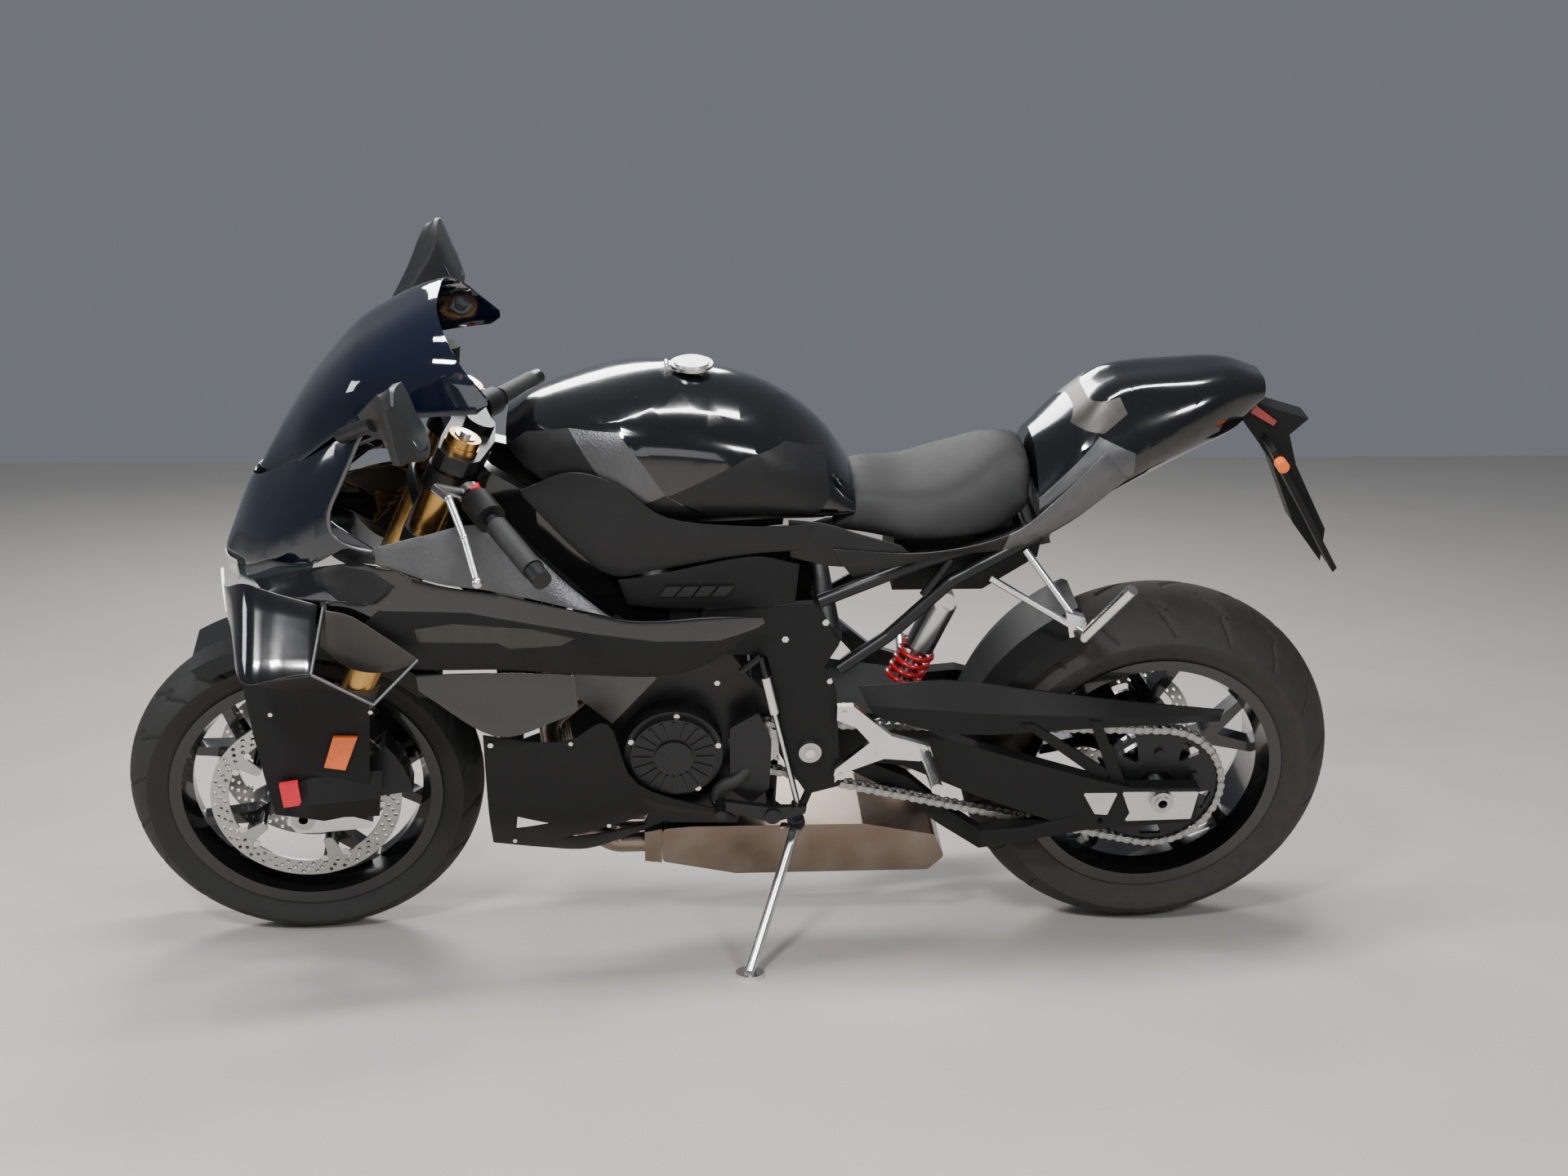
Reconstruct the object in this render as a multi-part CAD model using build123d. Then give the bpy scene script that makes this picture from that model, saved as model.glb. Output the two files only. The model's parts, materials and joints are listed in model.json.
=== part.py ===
from build123d import *
import math
import os

# Sport bike, millimetres. X points forward, Y to the rider's left and Z up.
# Everything is drawn with the bike upright, from a point on the ground under the rear axle.
# The last section turns the steered parts and leans the whole bike onto its side stand.

# Swingarm and rear axle
PIVOT_X = 604
PIVOT_Z = 428
SWINGARM_LENGTH = 612.5
SWINGARM_DROP = 9.6

# Steering head and fork
HEAD_X = 1174.6
HEAD_Z = 875
HEAD_LENGTH = 110
RAKE = 23.6
FORK_OFFSET = 28.6
FORK_REACH = 640
FORK_SPREAD = 214
FORK_TUBE_RADIUS = 28
SLIDER_RADIUS = 21.5
SLIDER_TOP = 235
STEM_RADIUS = 15

# Wheels
FRONT_TYRE_RADIUS = 300
FRONT_TYRE_WIDTH = 120
FRONT_RIM_WIDTH = 100
REAR_TYRE_RADIUS = 326
REAR_TYRE_WIDTH = 200
REAR_RIM_WIDTH = 166
RIM_RADIUS = 229
BEAD_RADIUS = 216
FRONT_CROWN_SHARE = 0.42
REAR_CROWN_SHARE = 0.5
AXLE_RADIUS = 12.5
AXLE_BORE = 8
FRONT_DISC_RADIUS = 160
REAR_DISC_RADIUS = 110
DISC_THICKNESS = 5
FRONT_DISC_Y = 60
REAR_DISC_Y = -96

# Chain drive
CHAIN_PITCH = 15.875
CHAIN_Y = 112
FRONT_TEETH = 17
REAR_TEETH = 45
SPROCKET_X = 688
SPROCKET_Z = 422

# How it stands
LEAN = 14
STEER = 2.8
STAND_FOOT_X = 706
STAND_FOOT_Y = 290

# Gaps between pieces
FIT = 0.3
RUNNING = 0.05
WALL = 4

COS_RAKE = math.cos(math.radians(RAKE))
SIN_RAKE = math.sin(math.radians(RAKE))
REAR_AXLE_X = PIVOT_X - SWINGARM_LENGTH * math.cos(math.radians(SWINGARM_DROP))
REAR_AXLE_Z = PIVOT_Z - SWINGARM_LENGTH * math.sin(math.radians(SWINGARM_DROP))
FRONT_AXLE_X = HEAD_X + FORK_REACH * SIN_RAKE + FORK_OFFSET * COS_RAKE
FRONT_AXLE_Z = HEAD_Z - FORK_REACH * COS_RAKE + FORK_OFFSET * SIN_RAKE

# The fork's own frame: origin on the front axle, Z up along the tubes, X forward of them
FORK = Plane(
    origin=(FRONT_AXLE_X, 0, FRONT_AXLE_Z),
    x_dir=(COS_RAKE, 0, SIN_RAKE),
    z_dir=(-SIN_RAKE, 0, COS_RAKE),
).location
HEAD = FORK * Pos(-FORK_OFFSET, 0, FORK_REACH)


def rod(start, end, radius, bore=0):
    """A round bar, or a tube when it has a bore, from one point to another."""
    direction = Vector(*end) - Vector(*start)
    plane = Plane(origin=start, z_dir=direction)
    bar = plane * extrude(Circle(radius), direction.length)
    if bore:
        bar -= plane * extrude(Circle(bore), direction.length)
    return bar


def disc(x, z, radius, y_low, y_high, bore=0):
    """A round plate or drum whose axis runs across the bike."""
    return rod((x, y_low, z), (x, y_high, z), radius, bore)


def plate(outline, y_low, y_high, radius=0):
    """A flat plate seen from the side: an outline of (x, z), as thick as y_low to y_high."""
    points = [(x, y_low, z) for x, z in outline]
    if radius:
        edge = FilletPolyline(*points, radius=radius, close=True)
    else:
        edge = Polyline(*points, close=True)
    return extrude(Face(Wire(edge.edges())), amount=y_high - y_low, dir=(0, 1, 0))


def both_sides(left):
    """The left piece and its mirror image on the right."""
    return Compound(children=[left, mirror(left, about=Plane.XZ)])


def skin(sections, wall=WALL):
    """A panel ruled between upright sections. Each section has a top and a bottom (x, z) and
    the panel's distances from the middle of the bike, evenly spaced from top to bottom."""
    wires = []
    for top, bottom, outs in sections:
        steps = [i / (len(outs) - 1) for i in range(len(outs))]
        outer = [
            (top[0] + (bottom[0] - top[0]) * t, y, top[1] + (bottom[1] - top[1]) * t)
            for t, y in zip(steps, outs)
        ]
        inner = [(x, y - wall, z) for x, y, z in reversed(outer)]
        wires.append(Wire(Polyline(*outer, *inner, close=True).edges()))
    return Solid.make_loft(wires, ruled=True)


def arch(sections, wall=WALL):
    """A shell over the middle of the bike, ruled between sections. Each section goes from its
    lower left edge (x, y, z) up to the middle, where y is 0, and is mirrored to the right."""
    wires = []
    for left in sections:
        steps = [i / (len(left) - 1) for i in range(len(left))]
        under = [
            (x, max(y - wall * (1 - t), 0), z - wall * t) for t, (x, y, z) in zip(steps, left)
        ]
        outer = left + [(x, -y, z) for x, y, z in reversed(left[:-1])]
        inner = [(x, -y, z) for x, y, z in under[:-1]] + list(reversed(under))
        wires.append(Wire(Polyline(*outer, *inner, close=True).edges()))
    return Solid.make_loft(wires, ruled=True)


def hull(sections):
    """A solid body, ruled between sections at one x each. A section goes (y, z) from the bottom
    to the top of its left half, and is mirrored to the right."""
    wires = []
    for x, left in sections:
        right = [(-y, z) for y, z in reversed(left) if y > 0]
        points = [(x, y, z) for y, z in left + right]
        wires.append(Wire(Polyline(*points, close=True).edges()))
    return Solid.make_loft(wires, ruled=True)


def turned(x, z, profile):
    """A ring about a line across the bike, from a closed profile of (y, radius)."""
    edge = Polyline(*[(y, radius) for y, radius in profile], close=True)
    ring = revolve(Face(Wire(edge.edges())), Axis.X)
    return Pos(x, 0, z) * Rot(0, 0, 90) * ring


NODES = {}
STEERED = []
FRONT_WHEEL = []


# Wheels
def wheel(axle, rim_width, spoke_width, first_spoke, hub_low, hub_high, hub_radius):
    """A cast wheel: rim barrel, hub and five spokes that fork near the rim."""
    x, z = axle
    half = rim_width / 2
    well = BEAD_RADIUS - 16
    barrel = turned(
        x,
        z,
        [
            (-half, RIM_RADIUS),
            (5 - half, RIM_RADIUS),
            (5 - half, BEAD_RADIUS),
            (24 - half, BEAD_RADIUS - 2),
            (34 - half, well),
            (half - 34, well),
            (half - 24, BEAD_RADIUS - 2),
            (half - 5, BEAD_RADIUS),
            (half - 5, RIM_RADIUS),
            (half, RIM_RADIUS),
            (half - 3, BEAD_RADIUS - 7),
            (half - 38, well - 6),
            (38 - half, well - 6),
            (3 - half, BEAD_RADIUS - 7),
        ],
    )
    fork_radius = 0.56 * BEAD_RADIUS
    tip = well - 3
    spoke = plate(
        [
            (16, 11),
            (fork_radius - 12, 12),
            (tip, 62),
            (tip + 1, 44),
            (fork_radius + 14, 0),
            (tip + 1, -44),
            (tip, -62),
            (fork_radius - 12, -12),
            (16, -11),
        ],
        -spoke_width / 2,
        spoke_width / 2,
    )
    body = disc(0, 0, hub_radius, hub_low, hub_high)
    body += [Rot(0, -(first_spoke + 72 * i), 0) * spoke for i in range(5)]
    body = Pos(x, 0, z) * body
    bore = disc(x, z, AXLE_RADIUS + RUNNING, hub_low - 1, hub_high + 1)
    return barrel + body - bore


def tyre(axle, radius, width, rim_width, crown_share):
    """A tyre: round crown, sidewalls down to the rim's bead seats, hollow inside."""
    x, z = axle
    half = width / 2
    bead = rim_width / 2 - 5 - FIT
    crown = radius - crown_share * (radius - BEAD_RADIUS)
    foot = BEAD_RADIUS + FIT
    outer = [
        Line((-bead, foot), (-bead, RIM_RADIUS + 4)),
        Line((-bead, RIM_RADIUS + 4), (-half, crown)),
        ThreePointArc((-half, crown), (0, radius), (half, crown)),
        Line((half, crown), (bead, RIM_RADIUS + 4)),
        Line((bead, RIM_RADIUS + 4), (bead, foot)),
        Line((bead, foot), (bead - 12, foot)),
        Line((bead - 12, foot), (half - 10, crown - 2)),
        Line((half - 10, crown - 2), (0.5 * half, radius - 16)),
        Line((0.5 * half, radius - 16), (-0.5 * half, radius - 16)),
        Line((-0.5 * half, radius - 16), (10 - half, crown - 2)),
        Line((10 - half, crown - 2), (12 - bead, foot)),
        Line((12 - bead, foot), (-bead, foot)),
    ]
    ring = revolve(Face(Wire(outer)), Axis.X)
    return Pos(x, 0, z) * Rot(0, 0, 90) * ring


def brake_disc(axle, radius, y, lug_radius, lug_count, first_lug):
    """A brake disc ring with inward lugs that bolt to the wheel."""
    x, z = axle
    low = y - DISC_THICKNESS / 2
    high = y + DISC_THICKNESS / 2
    inner = radius * 0.8
    ring = disc(0, 0, radius, low, high, inner)
    lug = plate([(lug_radius, 9), (inner + 3, 20), (inner + 3, -20), (lug_radius, -9)], low, high)
    lug += disc(lug_radius, 0, 9, low, high)
    ring += [Rot(0, -(first_lug + 360 / lug_count * i), 0) * lug for i in range(lug_count)]
    return Pos(x, 0, z) * ring


FRONT_AXLE = (FRONT_AXLE_X, FRONT_AXLE_Z)
REAR_AXLE = (REAR_AXLE_X, REAR_AXLE_Z)
FRONT_LUG_RADIUS = 98
REAR_LUG_RADIUS = 66
FRONT_SPOKE_WIDTH = 28
REAR_SPOKE_WIDTH = 34
FRONT_SPOKE_ANGLE = 180
REAR_SPOKE_ANGLE = 90
FRONT_HUB = 42
REAR_HUB = 70

front_rim = wheel(
    FRONT_AXLE, FRONT_RIM_WIDTH, FRONT_SPOKE_WIDTH, FRONT_SPOKE_ANGLE, -FRONT_HUB, FRONT_HUB, 30
)
front_post = FRONT_DISC_Y - DISC_THICKNESS / 2
for i in range(5):
    angle = math.radians(FRONT_SPOKE_ANGLE + 72 * i)
    post_x = FRONT_AXLE_X + FRONT_LUG_RADIUS * math.cos(angle)
    post_z = FRONT_AXLE_Z + FRONT_LUG_RADIUS * math.sin(angle)
    front_rim += disc(post_x, post_z, 8, -front_post, front_post)
NODES["front_rim"] = front_rim
NODES["front_tyre"] = tyre(
    FRONT_AXLE, FRONT_TYRE_RADIUS, FRONT_TYRE_WIDTH, FRONT_RIM_WIDTH, FRONT_CROWN_SHARE
)
NODES["front_brake_discs"] = both_sides(
    brake_disc(
        FRONT_AXLE, FRONT_DISC_RADIUS, FRONT_DISC_Y, FRONT_LUG_RADIUS, 5, FRONT_SPOKE_ANGLE
    )
)
FRONT_WHEEL += ["front_rim", "front_tyre", "front_brake_discs"]

rear_rim = wheel(
    REAR_AXLE, REAR_RIM_WIDTH, REAR_SPOKE_WIDTH, REAR_SPOKE_ANGLE, -REAR_HUB, REAR_HUB, 36
)
rear_rim += disc(*REAR_AXLE, 30, REAR_DISC_Y + DISC_THICKNESS / 2 + 6, -REAR_HUB, AXLE_RADIUS + RUNNING)
NODES["rear_tyre"] = tyre(
    REAR_AXLE, REAR_TYRE_RADIUS, REAR_TYRE_WIDTH, REAR_RIM_WIDTH, REAR_CROWN_SHARE
)

# The rear disc bolts to a carrier on the hub, and the sprocket to a carrier on the other side
disc_carrier = disc(*REAR_AXLE, REAR_LUG_RADIUS + 8, REAR_DISC_Y + 2.5, REAR_DISC_Y + 10, 29.5)
rear_rim += disc_carrier
NODES["rear_brake_disc"] = brake_disc(
    REAR_AXLE, REAR_DISC_RADIUS, REAR_DISC_Y, REAR_LUG_RADIUS, 5, REAR_SPOKE_ANGLE
)

SPROCKET_WIDTH = 8
TOOTH_DEPTH = 4.5
SPROCKET_BOLT_RADIUS = 68


def pitch_radius(teeth):
    return CHAIN_PITCH / 2 / math.sin(math.pi / teeth)


def sprocket(x, z, teeth, y, width, bore):
    """A chain sprocket with pointed teeth between round roller seats."""
    pitch = pitch_radius(teeth)
    points = []
    for i in range(teeth):
        root = pitch - TOOTH_DEPTH
        tip = pitch + TOOTH_DEPTH
        for share, radius in ((0.28, root), (0.42, tip), (0.58, tip), (0.72, root)):
            angle = 2 * math.pi * (i + share) / teeth
            points.append((x + radius * math.cos(angle), z + radius * math.sin(angle)))
    return plate(points, y - width / 2, y + width / 2) - disc(x, z, bore, y - width, y + width)


rear_sprocket = sprocket(*REAR_AXLE, REAR_TEETH, CHAIN_Y, SPROCKET_WIDTH, 32)
for i in range(5):
    rear_sprocket -= Pos(REAR_AXLE_X, 0, REAR_AXLE_Z) * Rot(0, -(54 + 72 * i), 0) * plate(
        [(88, 16), (98, 22), (98, -22), (88, -16), (58, 0)], CHAIN_Y - 9, CHAIN_Y + 9, 4
    )
for i in range(5):
    angle = math.radians(REAR_SPOKE_ANGLE + 72 * i)
    nut_x = REAR_AXLE_X + SPROCKET_BOLT_RADIUS * math.cos(angle)
    nut_z = REAR_AXLE_Z + SPROCKET_BOLT_RADIUS * math.sin(angle)
    rear_sprocket += disc(nut_x, nut_z, 8, CHAIN_Y + SPROCKET_WIDTH / 2, CHAIN_Y + SPROCKET_WIDTH / 2 + 6)
NODES["rear_sprocket"] = rear_sprocket
rear_rim += disc(*REAR_AXLE, 80, REAR_HUB - 14, CHAIN_Y - SPROCKET_WIDTH / 2 - 8, AXLE_RADIUS + RUNNING)
rear_rim += disc(*REAR_AXLE, 31.5, REAR_HUB, CHAIN_Y + SPROCKET_WIDTH / 2, AXLE_RADIUS + RUNNING)
for i in range(5):
    angle = math.radians(REAR_SPOKE_ANGLE + 72 * i)
    post_x = REAR_AXLE_X + SPROCKET_BOLT_RADIUS * math.cos(angle)
    post_z = REAR_AXLE_Z + SPROCKET_BOLT_RADIUS * math.sin(angle)
    rear_rim += disc(post_x, post_z, 9, CHAIN_Y - SPROCKET_WIDTH / 2 - 9, CHAIN_Y - SPROCKET_WIDTH / 2)
NODES["rear_rim"] = rear_rim

# Fork, yokes and handlebars, drawn in the fork's frame
FOOT_INNER = 84
FORK_Y = FORK_SPREAD / 2
GOLD_TOP = 738
LOWER_YOKE = FORK_REACH - HEAD_LENGTH / 2 - 5
UPPER_YOKE = FORK_REACH + HEAD_LENGTH / 2 + 5
YOKE_THICKNESS = 26
YOKE_SWEEP = 157


def fork_rod(y, low, high, radius, bore=0):
    return FORK * rod((0, y, low), (0, y, high), radius, bore)


fork_tube = fork_rod(FORK_Y, SLIDER_TOP, GOLD_TOP, FORK_TUBE_RADIUS)
fork_tube += fork_rod(FORK_Y, GOLD_TOP, GOLD_TOP + 14, FORK_TUBE_RADIUS - 2)
NODES["fork_tubes"] = both_sides(fork_tube)
foot = FORK * (
    plate(
        [(-34, -18), (0, -32), (24, -16), (26, 40), (22, 70), (-22, 70), (-40, 30), (-110, 34), (-112, 22)],
        FOOT_INNER,
        FORK_Y + 16,
    )
    - disc(0, 0, AXLE_RADIUS + FIT, FOOT_INNER - 1, FORK_Y + 30)
)
foot += fork_rod(FORK_Y, 30, SLIDER_TOP, SLIDER_RADIUS)
NODES["fork_legs"] = both_sides(foot)
axle_end = FORK_Y + 22
front_axle = disc(*FRONT_AXLE, AXLE_RADIUS, -axle_end, axle_end, AXLE_BORE)
for side in (-1, 1):
    near, far = sorted((side * (FRONT_HUB + FIT), side * (FOOT_INNER - FIT)))
    front_axle += disc(*FRONT_AXLE, 19, near, far, AXLE_RADIUS)
    near, far = sorted((side * (FORK_Y + 16 + FIT), side * axle_end))
    front_axle += disc(*FRONT_AXLE, 20, near, far, AXLE_RADIUS)
NODES["front_axle"] = front_axle


def yoke(height, thickness, hole):
    """A fork yoke: a plate that clamps both tubes in front of the stem."""
    body = Pos(0, 0, height) * extrude(
        Face(
            Wire(
                Polyline(
                    (-FORK_OFFSET - 30, -26),
                    (-FORK_OFFSET - 30, 26),
                    (-34, FORK_Y + 14),
                    (-16, FORK_Y + 40),
                    (22, FORK_Y + 40),
                    (34, FORK_Y + 18),
                    (30, FORK_Y - 30),
                    (16, 0),
                    (30, 30 - FORK_Y),
                    (34, -FORK_Y - 18),
                    (22, -FORK_Y - 40),
                    (-16, -FORK_Y - 40),
                    (-34, -FORK_Y - 14),
                    close=True,
                ).edges()
            )
        ),
        thickness,
        dir=(0, 0, 1),
    )
    for side in (-1, 1):
        body -= rod((0, side * FORK_Y, height - 1), (0, side * FORK_Y, height + thickness + 1), hole)
    return body


stem_hole = rod((-FORK_OFFSET, 0, 0), (-FORK_OFFSET, 0, 900), STEM_RADIUS + FIT)
lower_yoke = yoke(LOWER_YOKE - YOKE_THICKNESS, YOKE_THICKNESS, FORK_TUBE_RADIUS + FIT)
lower_yoke += rod(
    (-FORK_OFFSET, 0, LOWER_YOKE - YOKE_THICKNESS),
    (-FORK_OFFSET, 0, UPPER_YOKE + YOKE_THICKNESS + FIT),
    STEM_RADIUS,
)
lower_yoke += rod(
    (-FORK_OFFSET, 0, UPPER_YOKE + YOKE_THICKNESS + FIT),
    (-FORK_OFFSET, 0, UPPER_YOKE + YOKE_THICKNESS + 16),
    24,
)
NODES["lower_yoke"] = FORK * lower_yoke
upper_yoke = yoke(UPPER_YOKE, YOKE_THICKNESS, FORK_TUBE_RADIUS + FIT) - stem_hole
NODES["upper_yoke"] = FORK * upper_yoke
# Clip-on handlebars under the upper yoke
BAR_ROOT = (1166, 128, 918)
BAR_END = (1049, 372, 880)
CLIP_LOW = UPPER_YOKE - 44
CLIP_HIGH = UPPER_YOKE - 8
GRIP_START = 0.48
GRIP_END = 0.93
GRIP_RADIUS = 17
BAR_RADIUS = 11


def along(start, end, share):
    return tuple(a + (b - a) * share for a, b in zip(start, end))


tube_hole = fork_rod(FORK_Y, CLIP_LOW - 60, CLIP_HIGH + 60, FORK_TUBE_RADIUS + FIT)
clip = fork_rod(FORK_Y, CLIP_LOW, CLIP_HIGH, FORK_TUBE_RADIUS + 8) + rod(BAR_ROOT, BAR_END, BAR_RADIUS)
clip -= tube_hole
clip += rod(along(BAR_ROOT, BAR_END, 0.94), along(BAR_ROOT, BAR_END, 1.04), 15)
NODES["handlebars"] = both_sides(clip)
grip_from = along(BAR_ROOT, BAR_END, GRIP_START)
grip_to = along(BAR_ROOT, BAR_END, GRIP_END)
grip = rod(grip_from, grip_to, GRIP_RADIUS, BAR_RADIUS + FIT)
NODES["grips"] = both_sides(grip)
switch_box = rod(along(BAR_ROOT, BAR_END, 0.2), along(BAR_ROOT, BAR_END, 0.4), 24, BAR_RADIUS + FIT)

LEVER_PIVOT = (1202, 190, 940)
LEVER = [LEVER_PIVOT, (1180, 236, 944), (1158, 290, 905), (1140, 352, 862)]


def lever(points):
    """A brake or clutch lever: flat blade from its pivot to the ball on its end."""
    blade = rod(points[0], points[1], 7)
    for start, end in zip(points[1:], points[2:]):
        blade += rod(start, end, 6) + Pos(*start) * Sphere(7)
    return blade + Pos(*points[-1]) * Sphere(9)


ring_low = along(BAR_ROOT, BAR_END, 0.1)
ring_high = along(BAR_ROOT, BAR_END, 0.16)
bracket = rod(ring_low, ring_high, 19) + rod(along(BAR_ROOT, BAR_END, 0.13), LEVER_PIVOT, 8)
bracket -= rod(BAR_ROOT, along(BAR_ROOT, BAR_END, 0.3), BAR_RADIUS + FIT)
bracket -= fork_rod(FORK_Y, CLIP_LOW - 5, CLIP_HIGH + 5, FORK_TUBE_RADIUS + 8 + FIT)
bracket = max(bracket.solids(), key=lambda solid: solid.volume)
NODES["levers"] = both_sides(bracket + lever(LEVER))
reservoir = rod((1196, -178, 985), (1192, -178, 1027), 24) + rod((1200, -188, 942), (1196, -180, 990), 6)
reservoir -= mirror(NODES["levers"].solids()[0], about=Plane.XZ)
NODES["bar_controls"] = Compound(
    children=[switch_box, mirror(switch_box, about=Plane.XZ), *reservoir.solids()]
)

# Front fender, side covers and brake ducts ride on the fork feet
FENDER_RADIUS = FRONT_TYRE_RADIUS + 16
fender_arc = turned(
    *FRONT_AXLE,
    [
        (-70, FENDER_RADIUS - 36),
        (-64, FENDER_RADIUS - 8),
        (-40, FENDER_RADIUS + 6),
        (40, FENDER_RADIUS + 6),
        (64, FENDER_RADIUS - 8),
        (70, FENDER_RADIUS - 36),
        (67, FENDER_RADIUS - 36),
        (61, FENDER_RADIUS - 11),
        (39, FENDER_RADIUS + 3),
        (-39, FENDER_RADIUS + 3),
        (-61, FENDER_RADIUS - 11),
        (-67, FENDER_RADIUS - 36),
    ],
)
fender_side = [(1625, 560), (1580, 700), (1300, 700), (1180, 590), (1230, 490), (1400, 540), (1520, 510)]
fender_keep = plate(fender_side, -90, 90)
fender = fender_arc & fender_keep
for side in (-1, 1):
    fender_bracket = FORK * rod((0, side * 64, 294), (0, side * 84, 294), 8) - NODES["fork_tubes"]
    fender += fender_bracket - NODES["fork_legs"]
NODES["front_fender"] = fender
cover = skin(
    [
        ((1534, 556), (1500, 322), [112, 132, 140, 140]),
        ((1440, 566), (1420, 306), [138, 142, 144, 142]),
        ((1330, 548), (1345, 320), [146, 144, 144, 142]),
    ],
    3,
)
duct = skin(
    [
        ((1476, 372), (1470, 322), [147, 152, 149]),
        ((1440, 396), (1440, 318), [148, 168, 150]),
        ((1320, 396), (1330, 306), [132, 150, 134]),
    ],
    3,
)
NODES["fender_side_covers"] = both_sides(cover + duct)
reflector = plate([(1393, 476), (1354, 474), (1378, 411), (1412, 418)], 145, 151)
NODES["reflectors"] = both_sides(reflector)


def caliper(axle, disc_y, low_radius, high_radius, start, end, inner, outer):
    """A brake caliper: a block that bends round the disc's edge, slotted for the disc."""
    x, z = axle
    steps = 4
    angles = [math.radians(start + (end - start) * i / steps) for i in range(steps + 1)]
    arc_out = [(x + high_radius * math.cos(a), z + high_radius * math.sin(a)) for a in angles]
    arc_in = [(x + low_radius * math.cos(a), z + low_radius * math.sin(a)) for a in reversed(angles)]
    body = plate(arc_out + arc_in, inner, outer)
    slot = disc(x, z, high_radius - 12, disc_y - 5.5, disc_y + 5.5)
    return body - slot


front_caliper = caliper(FRONT_AXLE, FRONT_DISC_Y, 114, 184, 140, 172, 40, 92)
NODES["front_calipers"] = both_sides(front_caliper)
STEERED += [
    "fork_tubes",
    "fork_legs",
    "lower_yoke",
    "upper_yoke",
    "handlebars",
    "grips",
    "bar_controls",
    "levers",
    "front_axle",
    "front_fender",
    "fender_side_covers",
    "reflectors",
    "front_calipers",
]

# Frame: head tube, two beams down to the engine and the plates that carry the swingarm
head_tube = HEAD * rod((0, 0, -HEAD_LENGTH / 2), (0, 0, HEAD_LENGTH / 2), 34)
FRAME_Y = 132
PLATE_INNER = 127
PLATE_OUTER = 141
PIVOT_HALF = 98
PIVOT_RADIUS = 12
beam_sections = [
    ((1150, 905), (1196, 830), [34, 40]),
    ((1110, 940), (1150, 800), [74, 84]),
    ((1050, 900), (1040, 760), [104, 116]),
    ((905, 720), (860, 640), [FRAME_Y, FRAME_Y + 4]),
    ((780, 694), (760, 610), [FRAME_Y, FRAME_Y + 4]),
]
beam = skin(beam_sections, 30)
side_frame = plate(
    [
        (790, 694),
        (602, 703),
        (560, 630),
        (585, 585),
        (563, 538),
        (549, 355),
        (606, 339),
        (655, 420),
        (655, 505),
        (679, 610),
        (765, 612),
    ],
    PLATE_INNER,
    PLATE_OUTER,
    8,
)
side_frame += disc(PIVOT_X, PIVOT_Z, 19, PIVOT_HALF + FIT, PLATE_INNER)
side_frame -= disc(PIVOT_X, PIVOT_Z, PIVOT_RADIUS + FIT, 0, 200)
frame = head_tube
for piece in (beam + side_frame, mirror(beam + side_frame, about=Plane.XZ)):
    frame += piece
frame += rod((575, -PLATE_OUTER + 4, 640), (575, PLATE_OUTER - 4, 640), 18)
frame -= [
    HEAD * rod((0, 0, -200), (0, 0, 200), STEM_RADIUS + RUNNING),
    HEAD * rod((0, 0, HEAD_LENGTH / 2), (0, 0, HEAD_LENGTH / 2 + 80), YOKE_SWEEP),
    HEAD * rod((0, 0, -HEAD_LENGTH / 2 - 60), (0, 0, -HEAD_LENGTH / 2), 66),
]
NODES["main_frame"] = frame

# Engine: an inline four leaning forward
ENGINE_Y = 150
CRANKCASE_Y = 96
crankcase = plate(
    [(655, 300), (650, 480), (700, 540), (860, 560), (930, 470), (930, 360), (860, 300), (700, 280)],
    -CRANKCASE_Y,
    CRANKCASE_Y,
)
cylinders = plate([(700, 535), (855, 500), (965, 640), (860, 700), (800, 690)], -CRANKCASE_Y, CRANKCASE_Y)
sump = plate([(700, 290), (860, 305), (840, 240), (720, 236)], -70, 70)
NODES["engine_block"] = crankcase + [cylinders, sump]
head = plate([(858, 556), (932, 470), (1010, 540), (966, 638)], -118, 118)
head -= crankcase
head -= cylinders
NODES["cylinder_head"] = head
left_cover = disc(831, 422, 82, CRANKCASE_Y + FIT, 140)
left_cover += disc(831, 422, 72, 140, ENGINE_Y)
left_cover += disc(831, 422, 32, ENGINE_Y, ENGINE_Y + 5)
right_cover = disc(776, 410, 90, -138, -CRANKCASE_Y - FIT)
right_cover += disc(776, 410, 78, -148, -138)
right_cover += disc(890, 400, 46, -140, -CRANKCASE_Y - FIT)
sprocket_cover = plate(
    [(690, 500), (668, 440), (670, 350), (700, 322), (736, 350), (738, 470)], 126, 140, 6
)
NODES["engine_covers"] = Compound(children=[left_cover, right_cover, sprocket_cover])

# Radiator and oil cooler behind the front wheel
radiator = plate([(1040, 735), (1068, 728), (1086, 505), (1058, 500)], -140, 140)
for side in (-1, 1):
    tab = rod((1054, side * 96, 725), (1054, side * 96, 790), 7) - frame
    radiator += min(tab.solids(), key=lambda solid: solid.center().Z)
NODES["radiator"] = radiator

# Exhaust: four headers down in front of the engine into the box under it, then the silencer
header_starts = (-84, -28, 28, 84)
headers = None
for y in header_starts:
    port = (978, y, 517)
    turn = (1038, y, 460)
    low = (1015, y * 0.8, 250)
    under = (930, y * 0.62, 190)
    path = FilletPolyline(port, turn, low, under, (862, y * 0.62, 190), radius=34)
    section = Plane(origin=(978, y, 517), z_dir=(60, 0, -57)) * Circle(19)
    pipe = sweep(section, path)
    headers = pipe if headers is None else headers + pipe
headers += plate([(880, 162), (850, 158), (850, 228), (880, 222)], -74, 74)
NODES["exhaust_headers"] = headers - head
box_top = [(849.5, 228), (800, 232), (500, 232), (372, 206)]
box_outline = [*box_top, (352, 160), (380, 132), (720, 132), (849.5, 160)]
box_inside = [(x + (608 - x) * 0.012, z + (182 - z) * 0.06) for x, z in box_outline]
exhaust_box = plate(box_outline, -92, 74, 10) - plate(box_inside, -89, 71, 8)
hanger = rod((770, 0, 231), (770, 0, 250), 12) - sump
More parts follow.
